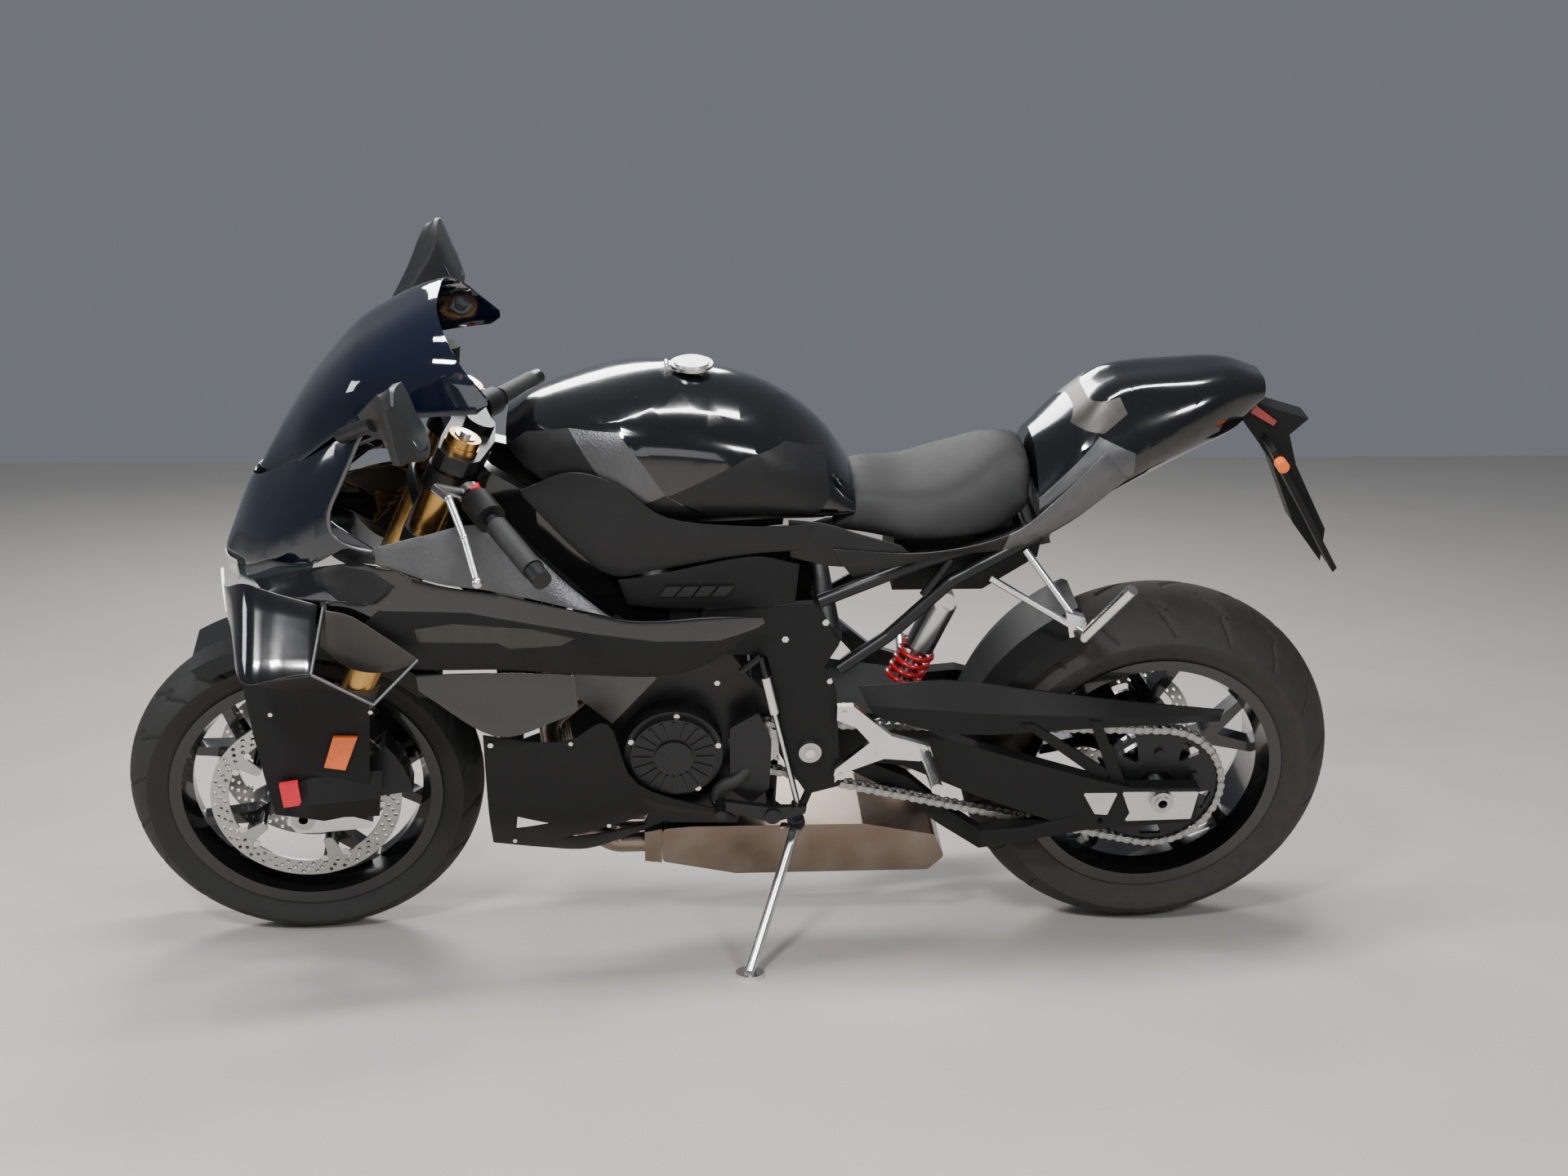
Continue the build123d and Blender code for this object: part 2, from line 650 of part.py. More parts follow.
NODES["exhaust_box"] = exhaust_box + max(hanger.solids(), key=lambda solid: solid.volume)
silencer = rod((440, -80, 190), (430, -176, 212), 27) + rod((430, -188, 215), (215, -218, 330), 52)
silencer += rod((215, -218, 330), (190, -221, 343), 40)
silencer -= NODES["exhaust_box"]
NODES["silencer"] = silencer


# Swingarm: two arms from the pivot to the axle, braced underneath, with a cross member
ARM_WALL = 26
BOBBIN = (REAR_AXLE_X + 100, REAR_AXLE_Z - 44)
BOBBIN_HOLE = 4
BOBBIN_DEPTH = 20
BOBBIN_MOUTH = 7
BOBBIN_MOUTH_DEPTH = 1.5
ARM_FRONT = PIVOT_HALF
ARM_REAR = 153
arm = skin(
    [
        ((632, 466), (632, 392), [ARM_FRONT, ARM_FRONT]),
        ((440, 446), (440, 366), [ARM_FRONT, ARM_FRONT]),
        ((320, 428), (320, 336), [ARM_REAR - 6, ARM_REAR - 4]),
        ((134, 370), (134, 262), [ARM_REAR, ARM_REAR]),
        ((52, 347), (52, 268), [ARM_REAR, ARM_REAR]),
        ((REAR_AXLE_X - 66, 345), (REAR_AXLE_X - 66, 276), [ARM_REAR, ARM_REAR]),
    ],
    ARM_WALL,
)
arm += skin(
    [
        ((560, 402), (560, 376), [ARM_FRONT, ARM_FRONT]),
        ((430, 342), (450, 312), [ARM_FRONT, ARM_FRONT]),
        ((362, 278), (372, 246), [ARM_FRONT, ARM_FRONT]),
        ((306, 262), (306, 226), [ARM_REAR - 6, ARM_REAR - 6]),
        ((234, 270), (234, 242), [ARM_REAR, ARM_REAR]),
        ((120, 300), (120, 264), [ARM_REAR, ARM_REAR]),
    ],
    ARM_WALL,
)
swingarm = arm + mirror(arm, about=Plane.XZ)
cross_member = [(600, 462), (560, 474), (400, 448), (400, 386), (520, 384)]
swingarm += plate(cross_member, -ARM_FRONT + 10, ARM_FRONT - 10)
swingarm += disc(PIVOT_X, PIVOT_Z, 30, -PIVOT_HALF, PIVOT_HALF)
swingarm -= disc(PIVOT_X, PIVOT_Z, PIVOT_RADIUS + FIT, -200, 200)
swingarm -= disc(*REAR_AXLE, AXLE_RADIUS + FIT, -200, 200)
for side in (-1, 1):
    swingarm -= disc(*BOBBIN, BOBBIN_HOLE, *sorted((side * ARM_REAR, side * (ARM_REAR - BOBBIN_DEPTH))))
    mouth = sorted((side * (ARM_REAR + 1), side * (ARM_REAR - BOBBIN_MOUTH_DEPTH)))
    swingarm -= disc(*BOBBIN, BOBBIN_MOUTH, *mouth)
NODES["swingarm"] = swingarm

pivot_end = PLATE_OUTER + 8
pivot_bolt = disc(PIVOT_X, PIVOT_Z, PIVOT_RADIUS, -pivot_end, pivot_end, 7)
for side in (-1, 1):
    near, far = sorted((side * (PLATE_OUTER + FIT), side * (PLATE_OUTER + 12)))
    pivot_bolt += disc(PIVOT_X, PIVOT_Z, 19, near, far, 7)
NODES["swingarm_pivot_bolt"] = pivot_bolt

rear_end = ARM_REAR + 20
rear_axle = disc(*REAR_AXLE, AXLE_RADIUS, -rear_end, rear_end, AXLE_BORE)
spacers = [
    (CHAIN_Y + SPROCKET_WIDTH / 2 + FIT, ARM_REAR - ARM_WALL - FIT),
    (-ARM_REAR + ARM_WALL + FIT, REAR_DISC_Y + DISC_THICKNESS / 2 + 6 - FIT),
]
for low, high in spacers:
    rear_axle += disc(*REAR_AXLE, 19, low, high, AXLE_RADIUS)
for side in (-1, 1):
    near, far = sorted((side * (ARM_REAR + 6 + FIT), side * (ARM_REAR + 16)))
    rear_axle += disc(*REAR_AXLE, 20, near, far, AXLE_RADIUS)
NODES["rear_axle"] = rear_axle
adjuster = plate([(69, 343), (-64, 341), (-56, 286), (60, 284), (52, 300)], ARM_REAR + FIT, ARM_REAR + 6, 3)
adjuster += plate([(136, 341), (76, 340), (90, 296), (112, 298)], ARM_REAR + FIT, ARM_REAR + 4, 3)
adjuster -= disc(*REAR_AXLE, AXLE_RADIUS + FIT, 0, 200)
NODES["chain_adjusters"] = both_sides(adjuster)

# Drive chain: two rows of link plates with waists between the pins, joined by rollers
front_pitch = pitch_radius(FRONT_TEETH)
rear_pitch = pitch_radius(REAR_TEETH)
NODES["front_sprocket"] = sprocket(SPROCKET_X, SPROCKET_Z, FRONT_TEETH, CHAIN_Y, SPROCKET_WIDTH - 2, 14)
NODES["front_sprocket"] += disc(SPROCKET_X, SPROCKET_Z, 24, CRANKCASE_Y + FIT, CHAIN_Y + 6)
span_x = SPROCKET_X - REAR_AXLE_X
span_z = SPROCKET_Z - REAR_AXLE_Z
span = math.hypot(span_x, span_z)
tilt = math.atan2(span_z, span_x)
wrap = math.asin((rear_pitch - front_pitch) / span)
run = span * math.cos(wrap)
front_wrap = front_pitch * (math.pi - 2 * wrap)
rear_wrap = rear_pitch * (math.pi + 2 * wrap)
chain_length = 2 * run + front_wrap + rear_wrap
link_count = 2 * round(chain_length / CHAIN_PITCH / 2)


def chain_point(share):
    """A place on the chain's line, and the direction out of the loop there."""
    s = share * chain_length
    upper = math.pi / 2 + tilt - wrap
    lower = tilt - math.pi / 2 + wrap
    if s < run:
        nx, nz = math.cos(upper), math.sin(upper)
        x = REAR_AXLE_X + rear_pitch * nx + s * math.sin(upper)
        z = REAR_AXLE_Z + rear_pitch * nz - s * math.cos(upper)
        return x, z, nx, nz
    s -= run
    if s < front_wrap:
        angle = upper - s / front_pitch
        nx, nz = math.cos(angle), math.sin(angle)
        return SPROCKET_X + front_pitch * nx, SPROCKET_Z + front_pitch * nz, nx, nz
    s -= front_wrap
    if s < run:
        nx, nz = math.cos(lower), math.sin(lower)
        x = SPROCKET_X + front_pitch * nx + s * math.sin(lower)
        z = SPROCKET_Z + front_pitch * nz - s * math.cos(lower)
        return x, z, nx, nz
    angle = lower - (s - run) / rear_pitch
    nx, nz = math.cos(angle), math.sin(angle)
    return REAR_AXLE_X + rear_pitch * nx, REAR_AXLE_Z + rear_pitch * nz, nx, nz


LINK_HALF = 7.5
LINK_WAIST = 5
ROLLER_RADIUS = 4.6


def link_strip(y_low, y_high):
    edges = []
    for sign in (1, -1):
        loop = []
        for i in range(link_count):
            x, z, nx, nz = chain_point((i + 0.5 * (sign + 1) / 2) / link_count)
            reach = LINK_HALF if i % 2 else LINK_WAIST + 1
            loop.append((x + sign * reach * nx, z + sign * reach * nz))
        edges.append(loop)
    return plate(edges[0], y_low, y_high) - plate(edges[1], y_low - 1, y_high + 1)


chain = link_strip(CHAIN_Y + 5.5, CHAIN_Y + 9.5) + link_strip(CHAIN_Y - 9.5, CHAIN_Y - 5.5)
straight_links = int(run / CHAIN_PITCH)
first_lower = math.ceil((run + front_wrap) / CHAIN_PITCH)
rollers = []
for first in (4, first_lower + 3):
    for i in range(first, first + straight_links - 7, 4):
        x, z, nx, nz = chain_point((i + 0.5) / link_count)
        rollers.append(disc(x, z, ROLLER_RADIUS, CHAIN_Y - 6, CHAIN_Y + 6))
chain += rollers
NODES["drive_chain"] = chain

# Chain guard over the upper run, on two struts from the arm
GUARD_Y = 138
guard = skin(
    [
        ((524, 531), (495, 487), [GUARD_Y - 26, GUARD_Y, GUARD_Y]),
        ((380, 541), (380, 452), [GUARD_Y - 26, GUARD_Y, GUARD_Y]),
        ((300, 530), (300, 448), [GUARD_Y - 26, GUARD_Y, GUARD_Y]),
        ((80, 496), (80, 460), [GUARD_Y - 26, GUARD_Y, GUARD_Y]),
        ((-104, 474), (-94, 462), [GUARD_Y - 26, GUARD_Y - 20, GUARD_Y - 10]),
    ],
    3,
)
strut = plate([(250, 470), (228, 470), (88, 372), (96, 352), (120, 368)], GUARD_Y - 3, GUARD_Y + 3)
strut += plate([(134, 475), (114, 472), (60, 350), (84, 350)], GUARD_Y - 3, GUARD_Y + 3)
strut -= arm
guard += max(strut.solids(), key=lambda solid: solid.volume)
NODES["chain_guard"] = guard

# Rear hugger over the front of the rear tyre
HUGGER_RADIUS = REAR_TYRE_RADIUS + 18
hugger = turned(
    *REAR_AXLE,
    [
        (-99, HUGGER_RADIUS - 40),
        (-97, HUGGER_RADIUS - 12),
        (-50, HUGGER_RADIUS + 6),
        (50, HUGGER_RADIUS + 6),
        (97, HUGGER_RADIUS - 12),
        (99, HUGGER_RADIUS - 40),
        (96, HUGGER_RADIUS - 40),
        (94, HUGGER_RADIUS - 14),
        (49, HUGGER_RADIUS + 3),
        (-49, HUGGER_RADIUS + 3),
        (-94, HUGGER_RADIUS - 14),
        (-96, HUGGER_RADIUS - 40),
    ],
)
hugger = hugger & plate([(150, 800), (150, 560), (270, 450), (420, 440), (420, 800)], -130, 130)
NODES["rear_hugger"] = hugger

# Rear caliper above the disc on the right, on a bracket from the arm
rear_caliper = caliper(REAR_AXLE, REAR_DISC_Y, 78, 132, 20, 62, REAR_DISC_Y - 24, REAR_DISC_Y + 20)
rear_caliper += plate([(24, 330), (70, 345), (90, 380), (40, 375)], REAR_DISC_Y - 24, REAR_DISC_Y - 12)
NODES["rear_caliper"] = rear_caliper

# Shock absorber and its spring
SHOCK_TOP = (372, 0, 630)
SHOCK_LOW = (452, 0, 440)
shock = rod(along(SHOCK_TOP, SHOCK_LOW, 0.0), along(SHOCK_TOP, SHOCK_LOW, 0.45), 26)
shock += rod(along(SHOCK_TOP, SHOCK_LOW, 0.45), along(SHOCK_TOP, SHOCK_LOW, 0.84), 9)
shock += rod((372, -24, 640), (372, 24, 640), 18)
NODES["shock_absorber"] = shock - swingarm
NODES["shock_spring"] = rod(along(SHOCK_TOP, SHOCK_LOW, 0.46), along(SHOCK_TOP, SHOCK_LOW, 0.8), 34, 27)

# Subframe: two tubes a side from the frame to under the tail
subframe = None
rails = [
    [(596, 134, 704), (440, 120, 763), (265, 104, 815)],
    [(560, 134, 578), (479, 124, 634), (380, 112, 727), (250, 104, 800)],
]
for rail in rails:
    for start, end in zip(rail, rail[1:]):
        piece = rod(start, end, 11) + Pos(*end) * Sphere(11)
        subframe = piece if subframe is None else subframe + piece
subframe += rod((425, 118, 705), (383, 115, 770), 7)
left_subframe = subframe - side_frame - beam
left_subframe = max(left_subframe.solids(), key=lambda solid: solid.volume)
cross = rod((265, -104, 812), (265, 104, 812), 9) + rod((440, -118, 757), (440, 118, 757), 9)
NODES["subframe"] = left_subframe + mirror(left_subframe, about=Plane.XZ) + cross

# Tank, its side covers, seat and tail
CAP_X = 799
CAP_Z = 1058
CAP_RADIUS = 40
CAP_HINGE_X = CAP_X + CAP_RADIUS
CAP_HINGE_Z = CAP_Z + 4.5
tank_sections = [
    (1092, [(0, 944), (48, 944), (66, 958), (56, 976), (0, 984)]),
    (1040, [(0, 905), (92, 905), (112, 935), (94, 990), (0, 1012)]),
    (911, [(0, 820), (118, 840), (158, 920), (130, 1016), (0, 1046)]),
    (800, [(0, 820), (118, 840), (160, 920), (132, 1010), (0, 1054)]),
    (680, [(0, 820), (108, 840), (148, 900), (124, 978), (0, 1024)]),
    (592, [(0, 820), (96, 836), (124, 868), (96, 930), (0, 962)]),
    (540, [(0, 830), (84, 836), (98, 850), (70, 878), (0, 890)]),
]
filler_seat = rod((CAP_X, 0, CAP_Z - 30), (CAP_X, 0, CAP_Z), CAP_RADIUS + 5)
NODES["fuel_tank"] = hull(tank_sections) + filler_seat
cap_pin = disc(CAP_HINGE_X, CAP_HINGE_Z, 2, -14, 14)
for low in (-14, 9 + FIT):
    cap_lug = disc(CAP_HINGE_X, CAP_HINGE_Z, 4, low, low + 14 - 9 - FIT)
    cap_lug += plate([(835, 1040), (843, 1040), (843, 1062), (835, 1062)], low, low + 14 - 9 - FIT)
    cap_pin += cap_lug
NODES["fuel_tank"] += cap_pin
filler_cap = rod((CAP_X, 0, CAP_Z + FIT), (CAP_X, 0, CAP_Z + 6), CAP_RADIUS - 6)
filler_cap += rod((CAP_X, 0, CAP_Z + 6), (CAP_X, 0, CAP_Z + 9), CAP_RADIUS - 12)
filler_cap += plate([(800, CAP_Z + 1), (839, CAP_Z + 1), (839, CAP_Z + 6), (800, CAP_Z + 6)], -9, 9)
filler_cap += disc(CAP_HINGE_X, CAP_HINGE_Z, 4, -9, 9)
filler_cap -= disc(CAP_HINGE_X, CAP_HINGE_Z, 2 + RUNNING, -9, 9)
NODES["filler_cap"] = filler_cap
side_cover = skin(
    [
        ((1070, 900), (1066, 890), [124, 125, 126]),
        ((990, 940), (985, 806), [146, 150, 146]),
        ((916, 925), (925, 762), [163, 162, 150]),
        ((842, 870), (842, 775), [165, 160, 150]),
        ((715, 850), (720, 796), [156, 156, 148]),
        ((604, 845), (600, 800), [140, 142, 138]),
    ],
)
lower_cover = skin(
    [
        ((920, 752), (905, 708), [143, 146]),
        ((850, 762), (840, 702), [144, 148]),
        ((713, 790), (713, 702), [142, 148]),
        ((630, 774), (636, 708), [140, 146]),
    ],
)
for boss_x, boss_z in ((870, 716), (740, 706)):
    boss = rod((boss_x, 124, boss_z), (boss_x, 144, boss_z + 6), 6) - beam
    boss -= side_frame
    lower_cover += max(boss.solids(), key=lambda solid: solid.volume)
NODES["side_covers"] = Compound(
    children=[
        side_cover,
        lower_cover,
        mirror(side_cover, about=Plane.XZ),
        mirror(lower_cover, about=Plane.XZ),
    ]
)
seat_sections = [
    (588, [(0, 816), (100, 816), (108, 830), (60, 846), (0, 850)]),
    (532, [(0, 812), (110, 812), (116, 834), (80, 864), (0, 872)]),
    (456, [(0, 806), (138, 808), (146, 830), (110, 862), (0, 870)]),
    (386, [(0, 806), (146, 814), (154, 836), (118, 876), (0, 888)]),
    (319, [(0, 812), (140, 826), (146, 850), (100, 904), (0, 918)]),
    (253, [(0, 840), (116, 862), (112, 888), (70, 926), (0, 936)]),
]
seat = hull(seat_sections) - NODES["fuel_tank"]
NODES["seat"] = max(seat.solids(), key=lambda solid: solid.volume)
tail_sections = [
    (248, [(0, 826), (110, 838), (122, 872), (60, 930), (0, 944)]),
    (185, [(0, 826), (116, 850), (122, 940), (70, 990), (0, 999)]),
    (120, [(0, 850), (112, 890), (118, 960), (66, 1034), (0, 1042)]),
    (3, [(0, 930), (88, 944), (96, 1010), (60, 1050), (0, 1056)]),
    (-67, [(0, 960), (58, 966), (70, 1034), (40, 1058), (0, 1062)]),
    (-121, [(0, 1004), (36, 1008), (44, 1030), (30, 1044), (0, 1046)]),
]
NODES["tail_cowl"] = hull(tail_sections)
tail_side = skin(
    [
        ((580, 806), (545, 750), [150, 152, 140]),
        ((430, 800), (400, 790), [158, 154, 150]),
        ((300, 828), (287, 800), [154, 148, 140]),
        ((225, 880), (200, 836), [136, 138, 128]),
        ((150, 960), (110, 910), [126, 130, 122]),
    ],
)
NODES["tail_side_panels"] = both_sides(tail_side)
undertray = hull(
    [
        (470, [(0, 690), (70, 690), (92, 740), (60, 790), (0, 792)]),
        (320, [(0, 690), (70, 690), (88, 740), (80, 790), (0, 796)]),
        (230, [(0, 740), (60, 744), (80, 790), (70, 816), (0, 818)]),
    ]
)
NODES["undertray"] = undertray - cross
holder_front = [(-110, 1003), (-104, 960), (-152, 900), (-206, 783), (-262, 712)]
holder_back = [(-262, 772), (-196, 890), (-178, 944), (-206, 972), (-140, 992)]
plate_holder = plate(holder_front + holder_back, -24, 24)
plate_holder += plate([(-130, 940), (-262, 724), (-268, 732), (-138, 946)], -90, 90)
NODES["plate_holder"] = plate_holder - NODES["tail_cowl"]

# Foot rests: rider's on hangers off the frame plates, passenger's on tube brackets
HANGER_Y = 155
hanger_rear = [(562, 520), (535, 520), (470, 462), (404, 440), (398, 420), (420, 412), (480, 418)]
hanger_front = [(545, 392), (562, 372), (562, 398), (505, 450), (530, 480), (562, 494)]
hanger = plate(hanger_rear + hanger_front, HANGER_Y - 8, HANGER_Y + 4)
hanger += disc(550, 507, 11, PLATE_OUTER + FIT, HANGER_Y)
hanger += disc(552, 386, 11, PLATE_OUTER + FIT, HANGER_Y)
hanger += rod((412, HANGER_Y, 428), (404, 258, 420), 10)
NODES["rider_footrests"] = both_sides(hanger)
peg_frame = rod((316, 117, 734), (181, 168, 668), 6) + rod((262, 112, 782), (181, 168, 684), 6)
peg_frame += plate([(200, 700), (168, 690), (160, 660), (190, 654)], 160, 176)
peg_frame += rod((168, 186, 662), (112, 236, 772), 10) + rod((176, 170, 664), (166, 188, 664), 12)
peg_frame -= NODES["subframe"]
NODES["passenger_footrests"] = both_sides(max(peg_frame.solids(), key=lambda solid: solid.volume))
gear_lever = plate([(756, 346), (752, 328), (666, 300), (610, 318), (608, 332), (666, 330)], 158, 168)
gear_lever += rod((754, 160, 337), (754, 200, 337), 9)
gear_lever += disc(665, 314, 14, 150, 172) + disc(665, 314, 8, CRANKCASE_Y, 172)
gear_lever += rod((622, 152, 326), (690, 150, 612), 5)
gear_lever += rod((625, 146, 325), (625, 170, 325), 8)
gear_lever += rod((690, 150, 612), (722, 150, 584), 6)
brake_pedal = plate([(740, 350), (736, 334), (560, 388), (566, 400)], -170, -160)
brake_pedal += rod((738, -200, 342), (738, -160, 342), 9)
brake_pedal += disc(562, 392, 14, -172, -HANGER_Y - 4)
NODES["foot_controls"] = Compound(children=[gear_lever, brake_pedal])

# Side stand pivot, under the left frame plate
STAND_PIVOT = (618, 95, 250)
# Bodywork
FAIRING = [
    ((1482, 776), (1440, 742), [176, 196, 200]),
    ((1372, 800), (1362, 700), [180, 204, 210]),
    ((1290, 809), (1285, 640), [198, 214, 206]),
    ((1199, 776), (1210, 626), [204, 212, 204]),
    ((1093, 756), (1093, 622), [204, 210, 200]),
    ((967, 720), (967, 607), [198, 204, 194]),
    ((880, 702), (850, 600), [192, 198, 188]),
    ((774, 704), (770, 622), [184, 190, 182]),
    ((690, 699), (686, 688), [178, 178, 176]),
]
COCKPIT = [
    ((1293, 836), (1290, 811), [192, 197]),
    ((1215, 850), (1200, 778), [178, 200]),
    ((1133, 863), (1120, 764), [170, 200]),
    ((1060, 822), (1050, 746), [170, 198]),
    ((1000, 764), (985, 727), [176, 196]),
    ((936, 712), (930, 710), [188, 190]),
]
FIN = [
    ((1240, 632), (1236, 592), [204, 212]),
    ((1130, 630), (1120, 498), [200, 200]),
    ((1030, 622), (1024, 520), [196, 192]),
    ((990, 618), (985, 540), [192, 190]),
]
side_fairing = skin(FAIRING) + skin(FIN)
for stay_x, stay_z, end_z in ((1020, 770, 690), (880, 660, 640)):
    stay = rod((stay_x, 112, stay_z), (stay_x, 196, end_z), 7) - beam
    side_fairing += max(stay.solids(), key=lambda solid: solid.center().Y)
cockpit = skin(COCKPIT) - side_fairing
cockpit = max(cockpit.solids(), key=lambda solid: solid.volume)
NODES["side_fairings"] = Compound(
    children=[
        *side_fairing.solids(),
        cockpit,
        *mirror(side_fairing, about=Plane.XZ).solids(),
        mirror(cockpit, about=Plane.XZ),
    ]
)
BELLY = [
    ((1142, 486), (1138, 236), [176, 172, 160, 116]),
    ((1060, 472), (1056, 222), [178, 173, 160, 112]),
    ((1000, 474), (977, 216), [176, 172, 158, 110]),
    ((938, 500), (900, 240), [172, 170, 156, 104]),
    ((890, 378), (830, 268), [164, 158, 130, 104]),
    ((740, 312), (727, 296), [152, 150, 148, 146]),
]
belly = skin(BELLY)
belly_boss = rod((860, 90, 330), (860, 150, 330), 8) - crankcase
belly += max(belly_boss.solids(), key=lambda solid: solid.center().Y)
NODES["belly_pan"] = both_sides(belly)
WING_TOP = [
    ((1558, 712), (1556, 702), [56, 62]),
    ((1530, 750), (1528, 688), [148, 172]),
    ((1494, 776), (1494, 664), [190, 298]),
    ((1440, 764), (1440, 668), [204, 302]),
    ((1382, 752), (1386, 674), [216, 302]),
]
WING_LOW = [
    ((1494, 664), (1490, 656), [298, 292]),
    ((1440, 668), (1430, 612), [302, 240]),
    ((1386, 674), (1380, 596), [302, 216]),
    ((1330, 640), (1325, 590), [302, 210]),
    ((1296, 618), (1292, 606), [300, 216]),
]
WING_LIP = [
    ((1296, 628), (1292, 612), [298, 292]),
    ((1262, 648), (1258, 634), [270, 262]),
    ((1232, 664), (1228, 650), [238, 232]),
]
winglet = skin(WING_TOP) + skin(WING_LOW) + skin(WING_LIP)
wing_root = plate([(1372, 745), (1300, 735), (1236, 664), (1230, 648), (1300, 640)], 190, 236) & skin(
    [
        ((1372, 748), (1372, 640), [226, 226]),
        ((1300, 740), (1300, 636), [232, 232]),
        ((1226, 690), (1226, 640), [236, 236]),
    ],
)
winglet += wing_root
winglet = winglet - side_fairing
winglet = max(winglet.solids(), key=lambda solid: solid.volume)
NOSE = [
    [(1552, 22, 734), (1552, 18, 748), (1552, 10, 756), (1552, 0, 760)],
    [(1500, 94, 730), (1500, 92, 780), (1500, 60, 846), (1500, 0, 880)],
    [(1440, 148, 746), (1440, 146, 830), (1440, 96, 912), (1440, 0, 962)],
    [(1370, 180, 780), (1370, 178, 880), (1370, 120, 990), (1370, 0, 1050)],
    [(1290, 200, 812), (1290, 196, 940), (1290, 130, 1076), (1290, 0, 1120)],
]
NOSE_SIDE = [
    (1570, 728),
    (1520, 748),
    (1464, 788),
    (1384, 803),
    (1340, 834),
    (1293, 838),
    (1362, 882),
    (1302, 1025),
    (1340, 1015),
    (1395, 964),
    (1445, 920),
    (1494, 886),
    (1570, 800),
]
nose = arch(NOSE) & plate(NOSE_SIDE, -260, 260)
nose -= side_fairing
nose -= mirror(side_fairing, about=Plane.XZ)
NODES["nose_cowl"] = nose
winglet -= nose
NODES["winglets"] = both_sides(max(winglet.solids(), key=lambda solid: solid.volume))
SCREEN = [
    [(1488, 10, 888), (1488, 7, 890), (1488, 4, 891), (1488, 0, 892)],
    [(1440, 74, 908), (1440, 62, 946), (1440, 34, 970), (1440, 0, 976)],
    [(1395, 122, 958), (1395, 104, 1006), (1395, 60, 1034), (1395, 0, 1042)],
    [(1340, 152, 1008), (1340, 130, 1066), (1340, 76, 1096), (1340, 0, 1100)],
    [(1297, 168, 1030), (1297, 146, 1098), (1297, 84, 1128), (1297, 0, 1132)],
    [(1205, 188, 1050), (1205, 158, 1130), (1205, 90, 1172), (1205, 0, 1180)],
    [(1110, 198, 1060), (1110, 166, 1132), (1110, 100, 1174), (1110, 0, 1190)],
]
SCREEN_SIDE = [
    (1600, 800),
    (1600, 1300),
    (1197, 1300),
    (1190, 1182),
    (1144, 1120),
    (1103, 1076),
    (1150, 1040),
    (1297, 1022),
]
screen = arch(SCREEN, 3) & plate(SCREEN_SIDE, -260, 260)
screen -= nose
NODES["windscreen"] = max(screen.solids(), key=lambda solid: solid.volume)
HEADLAMP = [
    ((1530, 742), (1527, 722), [60, 62]),
    ((1499, 761), (1497, 728), [90, 96]),
    ((1464, 786), (1462, 738), [122, 128]),
    ((1424, 794), (1426, 752), [148, 154]),
    ((1390, 800), (1394, 790), [168, 170]),
]
headlamp = skin(HEADLAMP, 12) - nose
headlamp -= winglet
headlamp = max((headlamp - side_fairing).solids(), key=lambda solid: solid.volume)
turn_lamp = rod((-140, 90, 925), (-150, 114, 922), 11) - NODES["plate_holder"]
tail_lamp = plate([(-112, 1000), (-104, 986), (-146, 962), (-152, 972)], -34, 34)
tail_lamp -= NODES["tail_cowl"]
tail_lamp = max((tail_lamp - NODES["plate_holder"]).solids(), key=lambda solid: solid.volume)
NODES["lamps"] = Compound(
    children=[
        headlamp,
        mirror(headlamp, about=Plane.XZ),
        turn_lamp,
        mirror(turn_lamp, about=Plane.XZ),
        tail_lamp,
    ]
)
mirror_head = Solid.make_loft(
    [
        Wire(Polyline(*[(x, y, z) for x, z in outline], close=True).edges())
        for y, outline in (
            (248, [(1294, 1080), (1262, 1096), (1248, 1062), (1280, 1048)]),
            (300, [(1268, 1122), (1222, 1152), (1190, 1070), (1236, 1052)]),
            (380, [(1246, 1164), (1222, 1174), (1180, 1072), (1232, 1060)]),
            (424, [(1230, 1160), (1220, 1166), (1190, 1088), (1216, 1078)]),
        )
    ],
    ruled=True,
)
mirror_piece = mirror_head + rod((1330, 156, 1012), (1274, 262, 1070), 10)
mirror_piece += rod((1338, 152, 1000), (1316, 180, 1030), 14)
mirror_piece -= nose
mirror_piece -= screen
NODES["mirrors"] = both_sides(max(mirror_piece.solids(), key=lambda solid: solid.volume))
display = plate([(1300, 1034), (1288, 1040), (1266, 960), (1278, 954)], -80, 80)
for side in (-1, 1):
    display += rod((1282, side * 70, 975), (1420, side * 96, 930), 5)
display -= nose
display -= NODES["windscreen"]
NODES["instrument_display"] = max(display.solids(), key=lambda solid: solid.volume)

# Side stand, drawn from its pivot to its foot on the ground
def lowest(place, axle, axis, radius, width, share):
    """Height of a round-crowned tyre's lowest point once the bike stands as placed."""
    rise = share * (radius - BEAD_RADIUS)
    crown = ((width / 2) ** 2 + rise**2) / 2 / rise
    centre = (place * Pos(*axle)).position
    tip = (place * Pos(*(Vector(*axle) + axis))).position - centre
    return centre.Z - (radius - crown) * math.sqrt(1 - tip.Z**2) - crown


TURN = HEAD * Rot(0, 0, STEER) * HEAD.inverse()
TURNED_AXLE = (TURN * Pos(FRONT_AXLE_X, 0, FRONT_AXLE_Z)).position
TURNED_AXIS = (TURN * Pos(FRONT_AXLE_X, 1, FRONT_AXLE_Z)).position - TURNED_AXLE
REAR_CENTRE = (REAR_AXLE_X, 0, REAR_AXLE_Z)


def both_lowest(place):
    """Heights of the lowest points of the front and the rear tyre."""
    front = lowest(
        place, TURNED_AXLE, TURNED_AXIS, FRONT_TYRE_RADIUS, FRONT_TYRE_WIDTH, FRONT_CROWN_SHARE
    )
    rear = lowest(
        place, REAR_CENTRE, Vector(0, 1, 0), REAR_TYRE_RADIUS, REAR_TYRE_WIDTH, REAR_CROWN_SHARE
    )
    return front, rear


